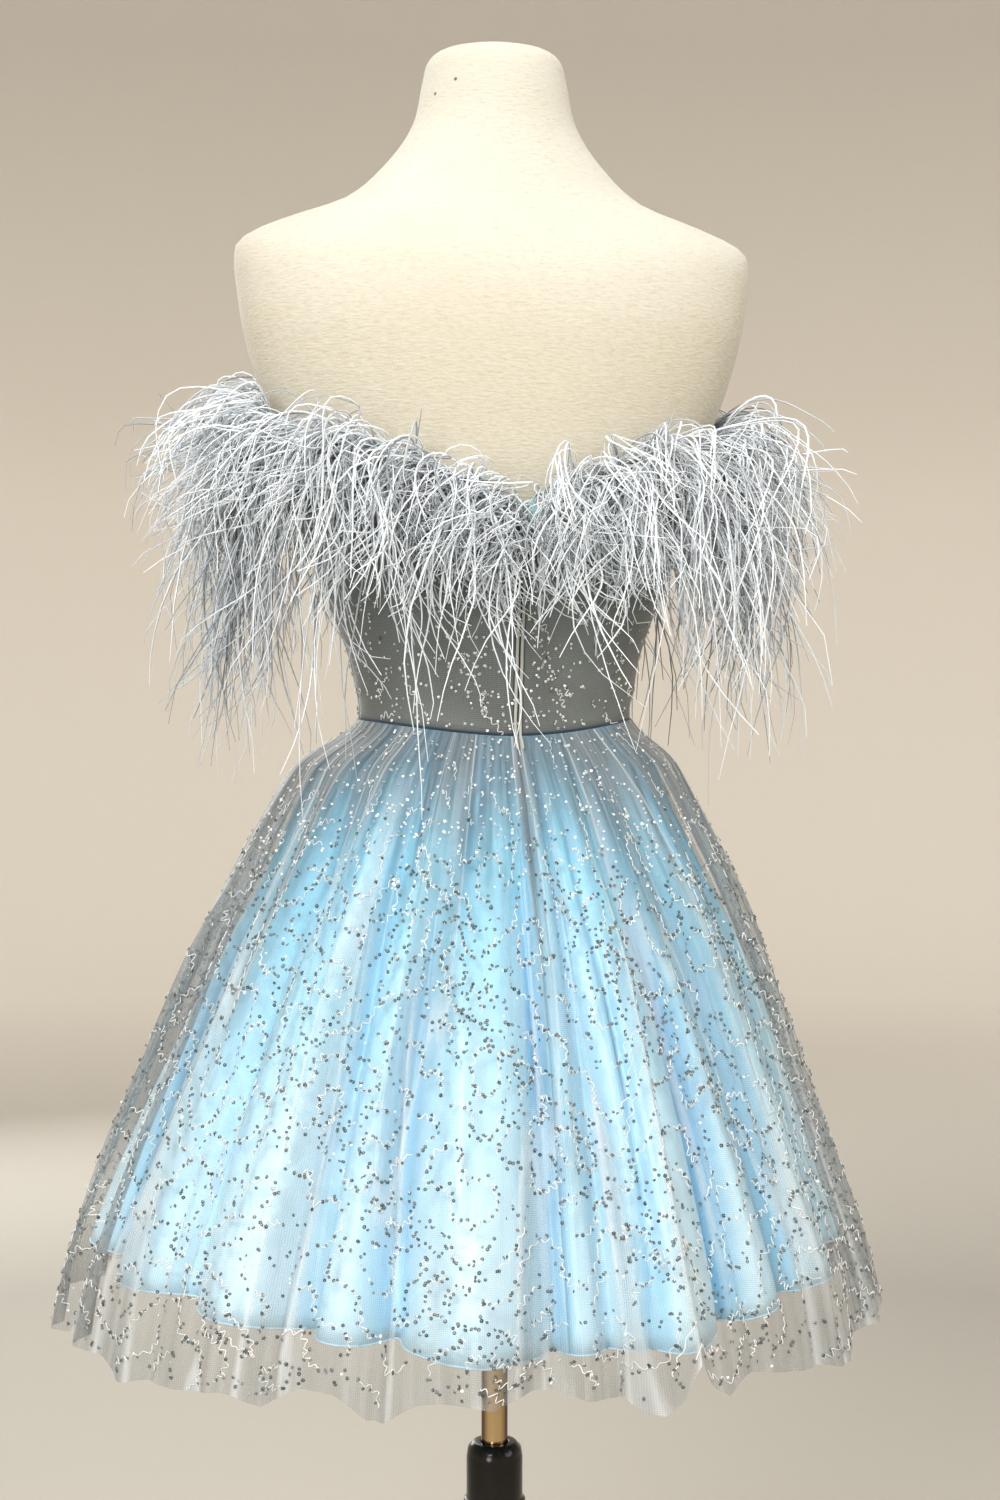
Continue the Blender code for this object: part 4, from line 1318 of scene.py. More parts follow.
def make_tube_tree():
    """Edges to curves, a soft wobble that grows along each one, and a ring swept along them."""
    tree, given, result = new_group(
        "lines to tubes",
        "GeometryNodeTree",
        [
            ("Geometry", "NodeSocketGeometry", None),
            ("Radius", "NodeSocketFloat", 0.0005),
            ("Sides", "NodeSocketInt", 3),
            ("Wobble", "NodeSocketFloat", 0.0),
            ("Wobble size", "NodeSocketFloat", 0.02),
            ("Seed", "NodeSocketInt", 3),
            ("Material", "NodeSocketMaterial", None),
        ],
        [("Geometry", "NodeSocketGeometry")],
    )
    curves = step(tree, "GeometryNodeMeshToCurve", {"Mesh": given["Geometry"]})
    share = add(tree, "GeometryNodeSplineParameter").outputs["Factor"]
    position = step(tree, "GeometryNodeInputPosition")
    scale = calculate(tree, "DIVIDE", 1.0, given["Wobble size"])
    wander = add(
        tree,
        "ShaderNodeTexNoise",
        {"Vector": position, "W": given["Seed"], "Scale": scale, "Detail": 1.0},
        noise_dimensions="4D",
    ).outputs["Color"]
    centred = step(tree, "ShaderNodeVectorMath", {0: wander, 1: (0.5, 0.5, 0.5)}, operation="SUBTRACT")
    strength = times(tree, given["Wobble"], share)
    offset = step(tree, "ShaderNodeVectorMath", {0: centred, "Scale": strength}, operation="SCALE")
    moved = step(tree, "GeometryNodeSetPosition", {"Geometry": curves, "Offset": offset})
    girth = named_attribute(tree, "girth", "FLOAT")
    sized = step(tree, "GeometryNodeSetCurveRadius", {"Curve": moved, "Radius": girth})
    size = {"Resolution": given["Sides"], "Radius": given["Radius"]}
    ring = step(tree, "GeometryNodeCurvePrimitiveCircle", size)
    sweep = {"Curve": sized, "Profile Curve": ring, "Fill Caps": True, "Scale": girth}
    swept = step(tree, "GeometryNodeCurveToMesh", sweep)
    smooth = step(tree, "GeometryNodeSetShadeSmooth", {0: swept})
    return real_mesh(tree, smooth, given, result)


tube_tree = make_tube_tree()


# %% From a tree to a plain mesh
def baked(name, mesh, tree, values):
    """Runs a Geometry Nodes tree on a mesh once and keeps the result as a plain mesh object."""
    source = bpy.data.objects.new(name + "_source", mesh)
    bpy.context.scene.collection.objects.link(source)
    modifier = source.modifiers.new("shape", "NODES")
    modifier.node_group = tree
    for item in tree.interface.items_tree:
        if item.in_out == "INPUT" and item.name in values:
            modifier[item.identifier] = values[item.name]
    depsgraph = bpy.context.evaluated_depsgraph_get()
    shaped = source.evaluated_get(depsgraph)
    result = bpy.data.meshes.new_from_object(shaped, preserve_all_data_layers=True, depsgraph=depsgraph)
    bpy.data.objects.remove(source)
    result.name = name
    made = bpy.data.objects.new(name, result)
    bpy.context.scene.collection.objects.link(made)
    triangles = sum(len(face.vertices) - 2 for face in result.polygons)
    print(f"{name}: {triangles} triangles")
    return made


def drawn_lines(name, paths, **attributes):
    """A mesh of edges from paths, an array of lines by points by three, with numbers on each point."""
    lines, points = paths.shape[:2]
    start = (np.arange(lines)[:, None] * points + np.arange(points - 1)).ravel()
    mesh = bpy.data.meshes.new(name)
    mesh.from_pydata(paths.reshape(-1, 3).tolist(), np.stack([start, start + 1], -1).tolist(), [])
    for title, values in attributes.items():
        layer = mesh.attributes.new(title, "FLOAT", "POINT")
        layer.data.foreach_set("value", np.broadcast_to(values, paths.shape[:2]).astype(np.float32).ravel())
    length = np.linalg.norm(np.diff(paths, axis=1), axis=-1).sum()
    print(f"{name}: {lines} lines, {length:.1f} m in all")
    return mesh


# %% [markdown]
# ## The cord and sequin pattern
# Vermicelli embroidery wanders over the net in loops that never cross. A known trick draws such a line: square
# tiles, each with two quarter circles that join the middles of its sides. However each tile is turned, the arcs
# meet those of its neighbours. The tiles are then warped, so that no square shows, and laid on the cloth by angle
# and by length from the layer's upper edge. The cord itself wiggles finely along each arc.

# %% Wandering line
SKIRT_TILE = 0.026
BODICE_TILE = 0.024
ARC_POINTS = 17
CORD_WIGGLE = 0.0027
CORD_WAVE = 0.0068
CORD_RADIUS = 0.00042
CORD_LIFT = 0.0006
SEQUIN_STEP = 0.0034
PATTERN_SEED = 11


def wandering_arcs(columns, rows, points, rng):
    """Quarter circles of the tiles, as arcs by points by two, in tiles."""
    across, down = np.meshgrid(np.arange(columns), np.arange(rows))
    corner = np.stack([across.ravel(), down.ravel()], -1).astype(float)
    turned = rng.random(len(corner)) < 0.5
    share = np.linspace(0, 1, points)
    arcs = []
    for first in (True, False):
        centre_x = np.where(turned, 1.0 if first else 0.0, 0.0 if first else 1.0)
        centre_y = np.where(first, 0.0, 1.0) * np.ones(len(corner))
        inward_x, inward_y = np.where(centre_x > 0.5, -1, 1), np.where(centre_y > 0.5, -1, 1)
        x = corner[:, :1] + centre_x[:, None] + inward_x[:, None] * 0.5 * np.cos(share * np.pi / 2)
        y = corner[:, 1:] + centre_y[:, None] + inward_y[:, None] * 0.5 * np.sin(share * np.pi / 2)
        arcs.append(np.stack([x, y], -1))
    return np.concatenate(arcs)


def warped(arcs, columns):
    """The pattern pulled about smoothly, the same at its two ends so that it closes round the skirt."""
    x, y = arcs[..., 0], arcs[..., 1]
    turn = 2 * np.pi / columns
    shift_x = 0.34 * np.sin(9 * turn * x + 0.8 * y) + 0.10 * np.sin(17 * turn * x - 1.9 * y + 1.3)
    shift_y = 0.34 * np.cos(11 * turn * x + 0.7 * y) + 0.10 * np.sin(14 * turn * x + 2.1 * y)
    return np.stack([x + shift_x, y + shift_y], -1)


def pattern_on(name, surface, upper, lower, width_radius, tile, cord_share, rng):
    """Cord lines of the pattern, where its sequins go, and the function that lays both on one layer."""
    columns = round(2 * math.pi * width_radius / tile)
    length = length_down(surface, upper, lower)
    rows = math.ceil(length / tile)
    arc_length = tile * math.pi / 4

    def onto(arcs, lift):
        """Tile places laid on the layer: points, normals, share of the way down, and angles."""
        turns = arcs[..., 0] / columns * 2 * np.pi
        share = arcs[..., 1] * tile / length
        edge = upper(turns)
        heights = edge + (lower(turns) - edge) * np.clip(share, 0.004, 0.996)
        points, normals = place(surface, turns, heights, lift)
        return points, normals, share, turns

    arcs = wandering_arcs(columns, rows, ARC_POINTS, rng)
    bent = warped(arcs, columns)
    along = np.gradient(bent, axis=1)
    sideways = np.stack([-along[..., 1], along[..., 0]], -1)
    sideways /= np.linalg.norm(sideways, axis=-1, keepdims=True)
    phase = rng.uniform(0, 2 * np.pi, (len(arcs), 1))
    on_arc = np.linspace(0, 1, ARC_POINTS)
    wiggle = np.sin(on_arc * arc_length / CORD_WAVE * 2 * np.pi + phase) * CORD_WIGGLE / tile
    wiggle = wiggle * np.sin(on_arc * np.pi) ** 0.5
    cords, _, share, _ = onto(bent + sideways * wiggle[..., None], CORD_LIFT)
    middle = share[:, ARC_POINTS // 2]
    kept = (middle > 0.0) & (middle < 0.985) & (rng.random(len(arcs)) < cord_share(middle))
    girth = np.interp(share[kept], (0.05, 0.30), (0.55, 1.0))
    lines = drawn_lines(name + "_cord", cords[kept], girth=girth)

    count = max(round(arc_length / SEQUIN_STEP), 1)
    spots = wandering_arcs(columns, rows, 2 * count + 1, np.random.default_rng(PATTERN_SEED))[:, 1::2]
    return lines, onto, warped(spots, columns)


# %% [markdown]
# Each sequin is a shallow ring, a cone cut off near its tip, with the hole that the thread goes through. The tree
# puts one on every point, turns it to the point's normal, tilts it a little at random and makes it a real mesh.
# There are thousands, so each is a ring of only six quads.

# %% The tree that sets sequins
HOLE_SHARE = 0.22


def make_sequin_tree():
    """A ring on every point, turned to its facing and tilted at random."""
    tree, given, result = new_group(
        "sequins on points",
        "GeometryNodeTree",
        [
            ("Geometry", "NodeSocketGeometry", None),
            ("Disc radius", "NodeSocketFloat", 0.00145),
            ("Cup depth", "NodeSocketFloat", 0.0004),
            ("Tilt", "NodeSocketFloat", 0.5),
            ("Seed", "NodeSocketInt", 5),
            ("Material", "NodeSocketMaterial", None),
        ],
        [("Geometry", "NodeSocketGeometry")],
    )
    radius, tilt = given["Disc radius"], given["Tilt"]
    cone = {
        "Vertices": 6,
        "Radius Top": times(tree, radius, HOLE_SHARE),
        "Radius Bottom": radius,
        "Depth": given["Cup depth"],
    }
    disc = step(tree, "GeometryNodeMeshCone", cone, fill_type="NONE")
    facing = named_attribute(tree, "facing", "FLOAT_VECTOR")
    upright = step(tree, "FunctionNodeAlignRotationToVector", {"Vector": facing}, axis="Z")
    back = times(tree, tilt, -1.0)
    least = step(tree, "ShaderNodeCombineXYZ", {0: back, 1: back})
    most = step(tree, "ShaderNodeCombineXYZ", {0: tilt, 1: tilt, 2: 2 * math.pi})
    limits = {0: least, 1: most, "Seed": given["Seed"]}
    chance = step(tree, "FunctionNodeRandomValue", limits, data_type="FLOAT_VECTOR")
    swing = step(tree, "FunctionNodeEulerToRotation", {0: chance})
    turning = {"Rotation": upright, "Rotate By": swing}
    turned = step(tree, "FunctionNodeRotateRotation", turning, rotation_space="LOCAL")
    points = step(tree, "GeometryNodeMeshToPoints", {"Mesh": given["Geometry"]})
    size = named_attribute(tree, "size", "FLOAT")
    placed = {"Points": points, "Instance": disc, "Rotation": turned, "Scale": size}
    return real_mesh(tree, step(tree, "GeometryNodeInstanceOnPoints", placed), given, result)


sequin_tree = make_sequin_tree()


def sequin_points(name, points, normals, tone, size):
    """A mesh of loose points that carry each sequin's facing, the tone of its painted reflection, and its size."""
    mesh = bpy.data.meshes.new(name)
    mesh.from_pydata(points.tolist(), [], [])
    facing = mesh.attributes.new("facing", "FLOAT_VECTOR", "POINT")
    facing.data.foreach_set("vector", normals.astype(np.float32).ravel())
    for title, values in (("tone", tone), ("size", size)):
        layer = mesh.attributes.new(title, "FLOAT", "POINT")
        layer.data.foreach_set("value", values.astype(np.float32))
    return mesh


# %% [markdown]
# Where the sequins sit follows the cord's tiles too, but with a little scatter, so that they read as single dots.
# Near the waist and on the bodice most get a painted light reflection, and on the lower skirt most get a painted
# dark one. The ones painted light are a little smaller.

# %% Pattern on the skirt and the bodice
SEQUIN_SCATTER = 0.09
SEQUIN_TILT = 0.55
SEQUIN_SIZES = (0.75, 1.08)
LIGHT_SEQUIN_SIZE = 0.80
# tones of the painted dark and light reflections
DARK_REFLECTION_TONES = (0.0, 0.14)
LIGHT_REFLECTION_TONES = (0.40, 0.95)


def make_pattern(name, dark_reflection_share, lift, sewn, **laid):
    """The cord and the sequins of one layer, as two plain meshes that ride on the figure."""
    rng = np.random.default_rng(PATTERN_SEED)
    lines, onto, spots = pattern_on(name, rng=rng, **laid)
    cord = baked(name + "_cord", lines, tube_tree, {"Radius": CORD_RADIUS, "Sides": 3, "Material": cord_finish})
    spots = spots + rng.normal(0, SEQUIN_SCATTER, spots.shape)
    points, normals, share, turns = onto(spots.reshape(-1, 2), lift)
    kept = (share > 0.006) & (share < 0.992) & (rng.random(len(share)) < sewn * sewn_share(share))
    # painted reflection: each sequin is given a dark or a light reflection by where it sits
    dark = rng.random(len(share)) < dark_reflection_share(share, turns)
    tone = np.where(dark, rng.uniform(*DARK_REFLECTION_TONES, len(share)), rng.uniform(*LIGHT_REFLECTION_TONES, len(share)))
    size = rng.uniform(*SEQUIN_SIZES, len(share)) * np.where(dark, 1.0, LIGHT_SEQUIN_SIZE)
    mesh = sequin_points(name + "_sequins", points[kept], normals[kept], tone[kept], size[kept])
    discs = baked(name + "_sequins", mesh, sequin_tree, {"Tilt": SEQUIN_TILT, "Material": sequin_finish})
    print(f"{name}: {int(kept.sum())} sequins")
    for piece in (cord, discs):
        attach(piece, "figure")


SKIRT_CORD_SHARE = 0.66
BODICE_CORD_SHARE = 0.14
BODICE_DARK_REFLECTION_SHARE = 0.04


def sewn_share(share):
    """Fewer sequins are sewn under the waist and at the neckline, where the net is gathered or turned in."""
    return 0.52 + 0.48 * soft_step((share - 0.05) / 0.17)


def skirt_cord_share(share):
    """Little of the cord shows in the gathers under the waist."""
    return SKIRT_CORD_SHARE * (0.18 + 0.82 * soft_step((share - 0.08) / 0.22))


def bodice_cord_share(share):
    """On the bodice the cord hardly shows."""
    return np.full(share.shape, BODICE_CORD_SHARE)


def bodice_dark_reflection_share(share, _):
    """Nearly every sequin on the bodice gets a painted light reflection."""
    return np.full(share.shape, BODICE_DARK_REFLECTION_SHARE)


def skirt_dark_reflection_share(share, turns):
    """Sequins get a painted dark reflection on the lower skirt, and a painted light one near the waist and down in
    the folds.
    """
    return soft_step((share - 0.10) / 0.20) * (0.72 + 0.26 * flute(turns))


make_pattern(
    "skirt",
    surface=net_surface,
    upper=below_waist,
    lower=net_edge,
    width_radius=SKIRT_WIDTH_RADIUS,
    tile=SKIRT_TILE,
    cord_share=skirt_cord_share,
    dark_reflection_share=skirt_dark_reflection_share,
    lift=0.0009,
    sewn=0.93,
)
make_pattern(
    "bodice",
    surface=bodice_surface,
    upper=neckline,
    lower=waistline,
    width_radius=BODICE_WIDTH_RADIUS,
    tile=BODICE_TILE,
    cord_share=bodice_cord_share,
    dark_reflection_share=bodice_dark_reflection_share,
    lift=0.0010,
    sewn=0.62,
)

# %% [markdown]
# ## The rolled satin hem
# A satin skirt ends in a narrow rolled hem, which catches the light as a thin bright line. It is a tube that
# follows the panel's own lower edge.

# %% Rolled hem
HEM_ROLL_RADIUS = 0.0007
HEM_ROLL_POINTS = 421


def make_hem_roll():
    """The rolled edge all round, centred a little above the panels' lower edge."""
    turns = np.linspace(0, 2 * np.pi, HEM_ROLL_POINTS)
    points, _ = place(satin_surface, turns, satin_hem(turns) + HEM_ROLL_RADIUS * 0.4)
    # fold 0.8 gives the roll the satin's pale ridge colour, a painted highlight
    lines = drawn_lines("satin_hem_roll", points[None, :], girth=1.0, fold=0.8)
    settings = {"Radius": HEM_ROLL_RADIUS, "Sides": 6, "Material": satin_finish}
    roll = baked("satin_hem_roll", lines, tube_tree, settings)
    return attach(roll, "figure")


make_hem_roll()

# %% [markdown]
# ## Feather trim
# Ostrich barbs spring from a band round the neckline. The upper ones stand up and arch outwards, the lower ones
# hang. Each follows a path that lies between the paths of the CAD model's locks. Barbs keep together in wisps, and
# wisps in tufts, so that much of what is random is shared, and each barb adds a little of its own.

# %% Feather measurements
LOCK_PATHS = (
    # points out from the strip and up from it, for a full-length lock
    ((0.032, 0.038), (0.084, 0.024), (0.118, -0.048)),
    ((0.040, 0.002), (0.076, -0.055), (0.092, -0.140)),
    ((0.024, -0.035), (0.042, -0.115), (0.048, -0.222)),
)
LOCK_REACH = {"left": 0.92, "right": 0.78, "back": 0.76, "front": 0.78}
STRIP_WIDTH = 0.012
TUFTS = 250
WISPS_IN_TUFT = 3
BARBS_IN_WISP = 6
BARBS_IN_TUFT = WISPS_IN_TUFT * BARBS_IN_WISP
BARBS = TUFTS * BARBS_IN_TUFT
BARB_POINTS = 16
BARB_RADIUS = 0.00095
FEATHER_SEED = 21
PARTING = math.radians(7)
FARTHEST_SIDEWAYS = 0.065
FARTHEST_OUT = 0.100


def lock_reach(angle):
    """How long the feathers are here, as a share of the full length."""
    side, ahead = np.sin(angle), np.cos(angle)
    sides = np.where(side > 0, LOCK_REACH["left"], LOCK_REACH["right"])
    ends = np.where(ahead > 0, LOCK_REACH["back"], LOCK_REACH["front"])
    return sides * side**2 + ends * (1 - side**2)


def path_at(row, share):
    """Out and up along the path between the lock rows, at each share of its length."""
    table = np.array([((0.0, 0.0), *path) for path in LOCK_PATHS])
    row = np.clip(row, 0, 2)
    low = np.minimum(row.astype(int), 1)
    points = table[low] + (table[low + 1] - table[low]) * (row - low)[:, None, None]
    t = share[:, :, None]
    inverse = 1 - t
    first, second, third, fourth = (points[:, k, None, :] for k in range(4))
    handle_a, handle_b = second * 1.35 - first * 0.35, third * 1.15 - fourth * 0.15
    return inverse**3 * first + 3 * inverse**2 * t * handle_a + 3 * inverse * t**2 * handle_b + t**3 * fourth


# %% [markdown]
# Each barb has its root on a strip under the neckline and its length from there. A few low ones at the back come
# loose and fall further than the rest.

# %% Roots and lengths
LOOSE_SHARE = 0.09
LOOSE_FROM_ROW = 1.1


def scatter(rng, tuft, wisp, barb):
    """A random part shared by the tuft, one shared by the wisp, and each barb's own."""
    shared = np.repeat(rng.normal(0, tuft, TUFTS), BARBS_IN_TUFT)
    shared = shared + np.repeat(rng.normal(0, wisp, TUFTS * WISPS_IN_TUFT), BARBS_IN_WISP)
    return shared + rng.normal(0, barb, BARBS)


def barb_roots(rng):
    """Each barb's angle round the neckline, and its row, from 0 for the highest to 2 for the lowest."""
    spots = (np.arange(TUFTS) + rng.uniform(-0.4, 0.4, TUFTS)) / TUFTS
    tuft_angle = PARTING * 0.45 + spots * (2 * np.pi - PARTING * 0.9)
    angle = np.repeat(tuft_angle, BARBS_IN_TUFT) + scatter(rng, 0, 0.012, 0.012)
    tuft_row = rng.permutation(np.linspace(0, 1, TUFTS) ** 1.1 * 2.1)
    row = np.repeat(tuft_row, BARBS_IN_TUFT) + scatter(rng, 0, 0.16, 0.12)
    return angle, row


def barb_lengths(rng, angle, row, low):
    """How far each barb reaches as a share of a full lock, its own length, and which ones are loose."""
    length = rng.beta(2.3, 1.45, BARBS) * 1.12
    ahead = np.abs(np.cos(angle))
    trailing = np.where(np.sin(angle) > 0, 0.16, 0.36) * soft_step((0.85 - ahead) / 0.35)
    shorter = 0.54 * soft_step((ahead - 0.55) / 0.3)
    length = length * (1 + (0.10 + trailing - shorter) * low)
    reach = lock_reach(angle) * length * np.clip(1 + scatter(rng, 0.10, 0.06, 0), 0.7, 1.15)
    loose = (rng.random(BARBS) < LOOSE_SHARE) & (row > LOOSE_FROM_ROW) & (np.cos(angle) > 0.62)
    reach = np.where(loose, lock_reach(angle) * rng.uniform(0.5, 1.4, BARBS), reach)
    longest = np.where(row < LOOSE_FROM_ROW, 0.90, np.where(loose, 1.3, 1.15))
    return np.minimum(reach, longest), length, loose


# %% [markdown]
# On its way each barb leans to one side, wavers slowly and hooks over at the tip. The barbs beside the zip lean
# away from it. Wherever a barb would go too far out or sideways, it is eased back.

# %% Sway, curl, tone and painted light
LARGEST_CURL = 0.034
WILD_SHARE = 0.28
LOOSE_TONE = 0.88


def barb_sway(rng, angle, low, loose):
    """How far each barb leans to the side, for each metre that it goes out."""
    from_zip = turn_from(angle, 0)
    near_zip = np.exp(-((from_zip / 9) ** 2)) * np.sign(from_zip)
    sway = scatter(rng, 0.32, 0.30, 0.15) * (1.6 - 1.2 * low) + near_zip * 0.30
    wild = rng.random(BARBS) < WILD_SHARE * (1 - 0.6 * low)
    sway = np.clip(sway + np.where(wild, rng.normal(0, 0.6, BARBS), 0), -1.1, 1.1)
    return np.where(loose, 0.35 * sway, sway)


def barb_curl(rng, share, length):
    """A slow wave to the side and one up and down, both held still at the root."""
    size = np.minimum(rng.gamma(2.4, 0.0074, (BARBS, 1)), LARGEST_CURL)
    size = size * (0.5 + 0.6 * np.clip(length, 0.4, 1.0))[:, None]
    turns = np.clip(1.0 + scatter(rng, 0.15, 0.2, 0.08), 0.5, 1.6)[:, None] * 2 * np.pi
    phase = scatter(rng, 0.0, 2.5, 0.45)[:, None]
    waver = size * share * (np.sin(turns * share + phase) - np.sin(phase) * (1 - share))
    bob = size * share * (np.cos(turns * share + phase) - np.cos(phase) * (1 - share))
    return waver, bob


def tip_hook(rng, share):
    """How far the tip hooks to the side, outwards and up."""
    hook = np.maximum((share - 0.55) / 0.45, 0) ** 2
    hook_side = rng.normal(0, 0.016, (BARBS, 1)) * hook
    hook_out = np.clip(rng.normal(0.002, 0.010, (BARBS, 1)), -0.02, 0.018) * hook
    hook_up = rng.gamma(1.4, 0.009, (BARBS, 1)) * hook**1.5
    return hook_side, hook_out, hook_up


def barb_tone(rng, share, angle, low, loose):
    """Each barb's random tone, with painted shade at the root and on the low barbs that hang in the shade, and
    painted light towards the tip and on the barbs at the back.
    """
    behind = soft_step((np.cos(angle) - 0.2) / 0.5)
    # painted shade on the low barbs, painted light on the barbs at the back and towards the tips
    tone = rng.beta(1.6, 0.8, BARBS) * (1.30 - (0.72 - 0.45 * behind) * low) + scatter(rng, 0.13, 0.10, 0)
    tone = np.where(loose, LOOSE_TONE, tone)
    tone = tone * (0.84 + 0.16 * behind)
    tone = tone[:, None] * np.interp(share[0], (0, 0.25, 0.8, 1), (0.45, 0.95, 1.1, 1.2))
    return np.clip(tone, 0, 1)


# %% [markdown]
# The zip's pull tab can swing up over the neckline, so no barb may cross the way that it takes. The barbs that do
# are found by their distance from the raised tab.

# %% Room for the zip's pull
PULL_HINGE = np.array([0.0, 0.1073, 1.188])
PULL_RAISED = math.radians(150)
PULL_LENGTH = 0.020
PULL_ROOM = 0.0055


def clear_of_pull(paths):
    """Which barbs stay clear of the zip's pull tab when it is swung up over the neckline."""
    tab = PULL_LENGTH * np.array([0.0, math.sin(PULL_RAISED), -math.cos(PULL_RAISED)])
    steps = np.linspace(0, 1, 6, endpoint=False)[None, None, :, None]
    fine = paths[:, :-1, None] + steps * np.diff(paths, axis=1)[:, :, None]
    along = np.clip((fine - PULL_HINGE) @ tab / (tab @ tab), 0, 1)
    away = np.linalg.norm(fine - PULL_HINGE - along[..., None] * tab, axis=-1)
    return away.min(axis=(1, 2)) > PULL_ROOM


# %% Barbs
ROOT_LIFT = 0.0022
LEAST_OUT = 0.0006
EASED_OVER = 0.006


def make_barbs():
    """Paths, girths and tones of all the barbs, and the angle of each root."""
    rng = np.random.default_rng(FEATHER_SEED)
    angle, row = barb_roots(rng)
    low = np.clip(row, 0, 2) / 2
    reach, length, loose = barb_lengths(rng, angle, row, low)
    share = np.linspace(0, 1, BARB_POINTS)[None, :]
    path = path_at(row, np.broadcast_to(share, (BARBS, BARB_POINTS))) * reach[:, None, None]
    path[..., 0] *= (1 - 0.55 * low * rng.random(BARBS))[:, None]
    steeper = 1.08 + (1 - low) * scatter(rng, 0.16, 0.16, 0.25)
    upward = path[..., 1] * np.where(path[..., 1] > 0, steeper[:, None], 1)

    sway = barb_sway(rng, angle, low, loose)
    waver, bob = barb_curl(rng, share, length)
    hook_side, hook_out, hook_up = tip_hook(rng, share)
    gather_in = 1 - 0.35 * low[:, None] * share**2
    sideways = sway[:, None] * (path[..., 0] + 0.25 * np.abs(path[..., 1])) * gather_in + waver + hook_side
    sideways = FARTHEST_SIDEWAYS * np.tanh(sideways / FARTHEST_SIDEWAYS)
    forward = path[..., 0] + 0.8 * bob + hook_out
    forward = np.minimum(forward, FARTHEST_OUT + 0.3 * (forward - FARTHEST_OUT))
    forward = 0.5 * (forward + np.hypot(forward, EASED_OVER)) + LEAST_OUT
    rise = upward + 0.6 * bob + hook_up

    root_height = neckline(angle) - STRIP_WIDTH * (0.15 + 0.8 * low)
    roots, _ = place(bodice_surface, angle, root_height, ROOT_LIFT)
    level = np.zeros(BARBS)
    out = np.stack([np.sin(angle), np.cos(angle), level], -1)[:, None]
    across = np.stack([np.cos(angle), -np.sin(angle), level], -1)[:, None]
    up = np.array([0.0, 0.0, 1.0])
    points = roots[:, None] + out * forward[..., None] + across * sideways[..., None] + up * rise[..., None]
    taper = np.interp(share[0], (0, 0.15, 0.75, 1.0), (0.7, 1.0, 0.85, 0.35))
    girth = taper * rng.uniform(0.55, 1.15, (BARBS, 1))
    return points, girth, barb_tone(rng, share, angle, low, loose), angle % (2 * np.pi)


barb_paths, barb_girths, barb_tones, barb_angles = make_barbs()
barbs_clear = clear_of_pull(barb_paths)
mean_length = np.linalg.norm(np.diff(barb_paths, axis=1), axis=-1).sum(1).mean()
print("barbs left out round the pull:", int((~barbs_clear).sum()))
print(f"barbs: {len(barb_paths)}, mean length {mean_length:.3f} m")

# %% [markdown]
# The trim is one piece of work, but a mesh of half a million faces is awkward to keep, so it is cut into three
# stretches by the angle of each root. The first one also stands for the CAD model's own trim.

# %% Feather pieces
FEATHER_STRETCHES = (("left", 0, 120), ("front", 120, 240), ("right", 240, 360))


def make_feathers():
    """The trim's three stretches. The first one replaces the whole of the CAD model's trim."""
    made = []
    for side, start, end in FEATHER_STRETCHES:
        name = "feathers_" + side
        chosen = barbs_clear & (barb_angles >= math.radians(start)) & (barb_angles < math.radians(end))
        lines = drawn_lines(name, barb_paths[chosen], girth=barb_girths[chosen], tone=barb_tones[chosen])
        settings = {
            "Radius": BARB_RADIUS,
            "Sides": 3,
            "Wobble": 0.006,
            "Wobble size": 0.030,
            "Seed": FEATHER_SEED,
            "Material": feather_finish,
        }
        piece = baked(name, lines, tube_tree, settings)
        made.append(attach(piece, "figure"))
    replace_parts(made[0], "feather_trim")


make_feathers()

# %% [markdown]
# ## Zip
# The back closes with a hidden zip: two rolled lips of cloth meet over it and run on past the waist seam for a
# short way. Each lip is a round tube, thinner at its ends, laid beside the centre line on the bodice and the net.

# %% Zip lips
LIP_WIDTH = 0.0032
LIP_WALL = 0.0010
LIP_GAP = 0.0006
LIP_END = 1.020
LIP_ROLL_RADIUS = 0.0012


def make_lip(name, side):
    """One rolled lip, on the left of the centre back where side is 1, and on the right where it is -1."""

    def beside_centre(surface, heights):
        """The lip's line over one surface, half a lip away from the centre back."""
        turns = side * (GAP / 2 + LIP_WIDTH * 0.5) / form_radius(np.zeros_like(heights), heights)
        return place(surface, turns, heights, LIP_GAP + LIP_WALL * 0.4)[0]

    top, waist = (float(edge(np.array(0.0))) for edge in (neckline, waistline))
    on_bodice = beside_centre(bodice_surface, np.linspace(top - 0.001, waist, 30))
    on_net = beside_centre(net_surface, np.linspace(waist - 0.004, LIP_END, 8))
    path = np.concatenate([on_bodice, on_net])
    girth = np.interp(np.arange(len(path)), (0, 1, len(path) - 3, len(path) - 1), (0.8, 1.0, 1.0, 0.5))
    lines = drawn_lines(name, path[None, :], girth=girth[None, :])
    lip = baked(name, lines, tube_tree, {"Radius": LIP_ROLL_RADIUS, "Sides": 8, "Material": tape_finish})
    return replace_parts(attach(lip, "figure"), name.replace("_cloth", ""))


make_lip("zip_lip_left_cloth", 1)
make_lip("zip_lip_right_cloth", -1)

# %% [markdown]
# ## Stand
# The form stands on a brass pole in a black sleeve, on a heavy round base. These are turned pieces: a profile of
# radius and height swept once round the axis. The corners are rounded with a bevel, so that each edge has a
# highlight.

# %% Turned pieces
POLE_RADIUS = 0.010
BORE_RADIUS = 0.0105
SLEEVE_TOP = 0.491
SLEEVE_RADIUS = 0.0213
COLUMN_TOP = 0.448
COLUMN_RADIUS = 0.0234
HUB_TOP = 0.060
HUB_RADIUS = 0.036
BASE_RADIUS = 0.170
TURNED_SIDES = 96
SHARP_FROM = math.radians(50)
ROUNDED_FROM = math.radians(35)
BASE_ROUNDING = 0.0008
FINE_ROUNDING = 0.0006
pole_low, pole_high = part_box("pole")


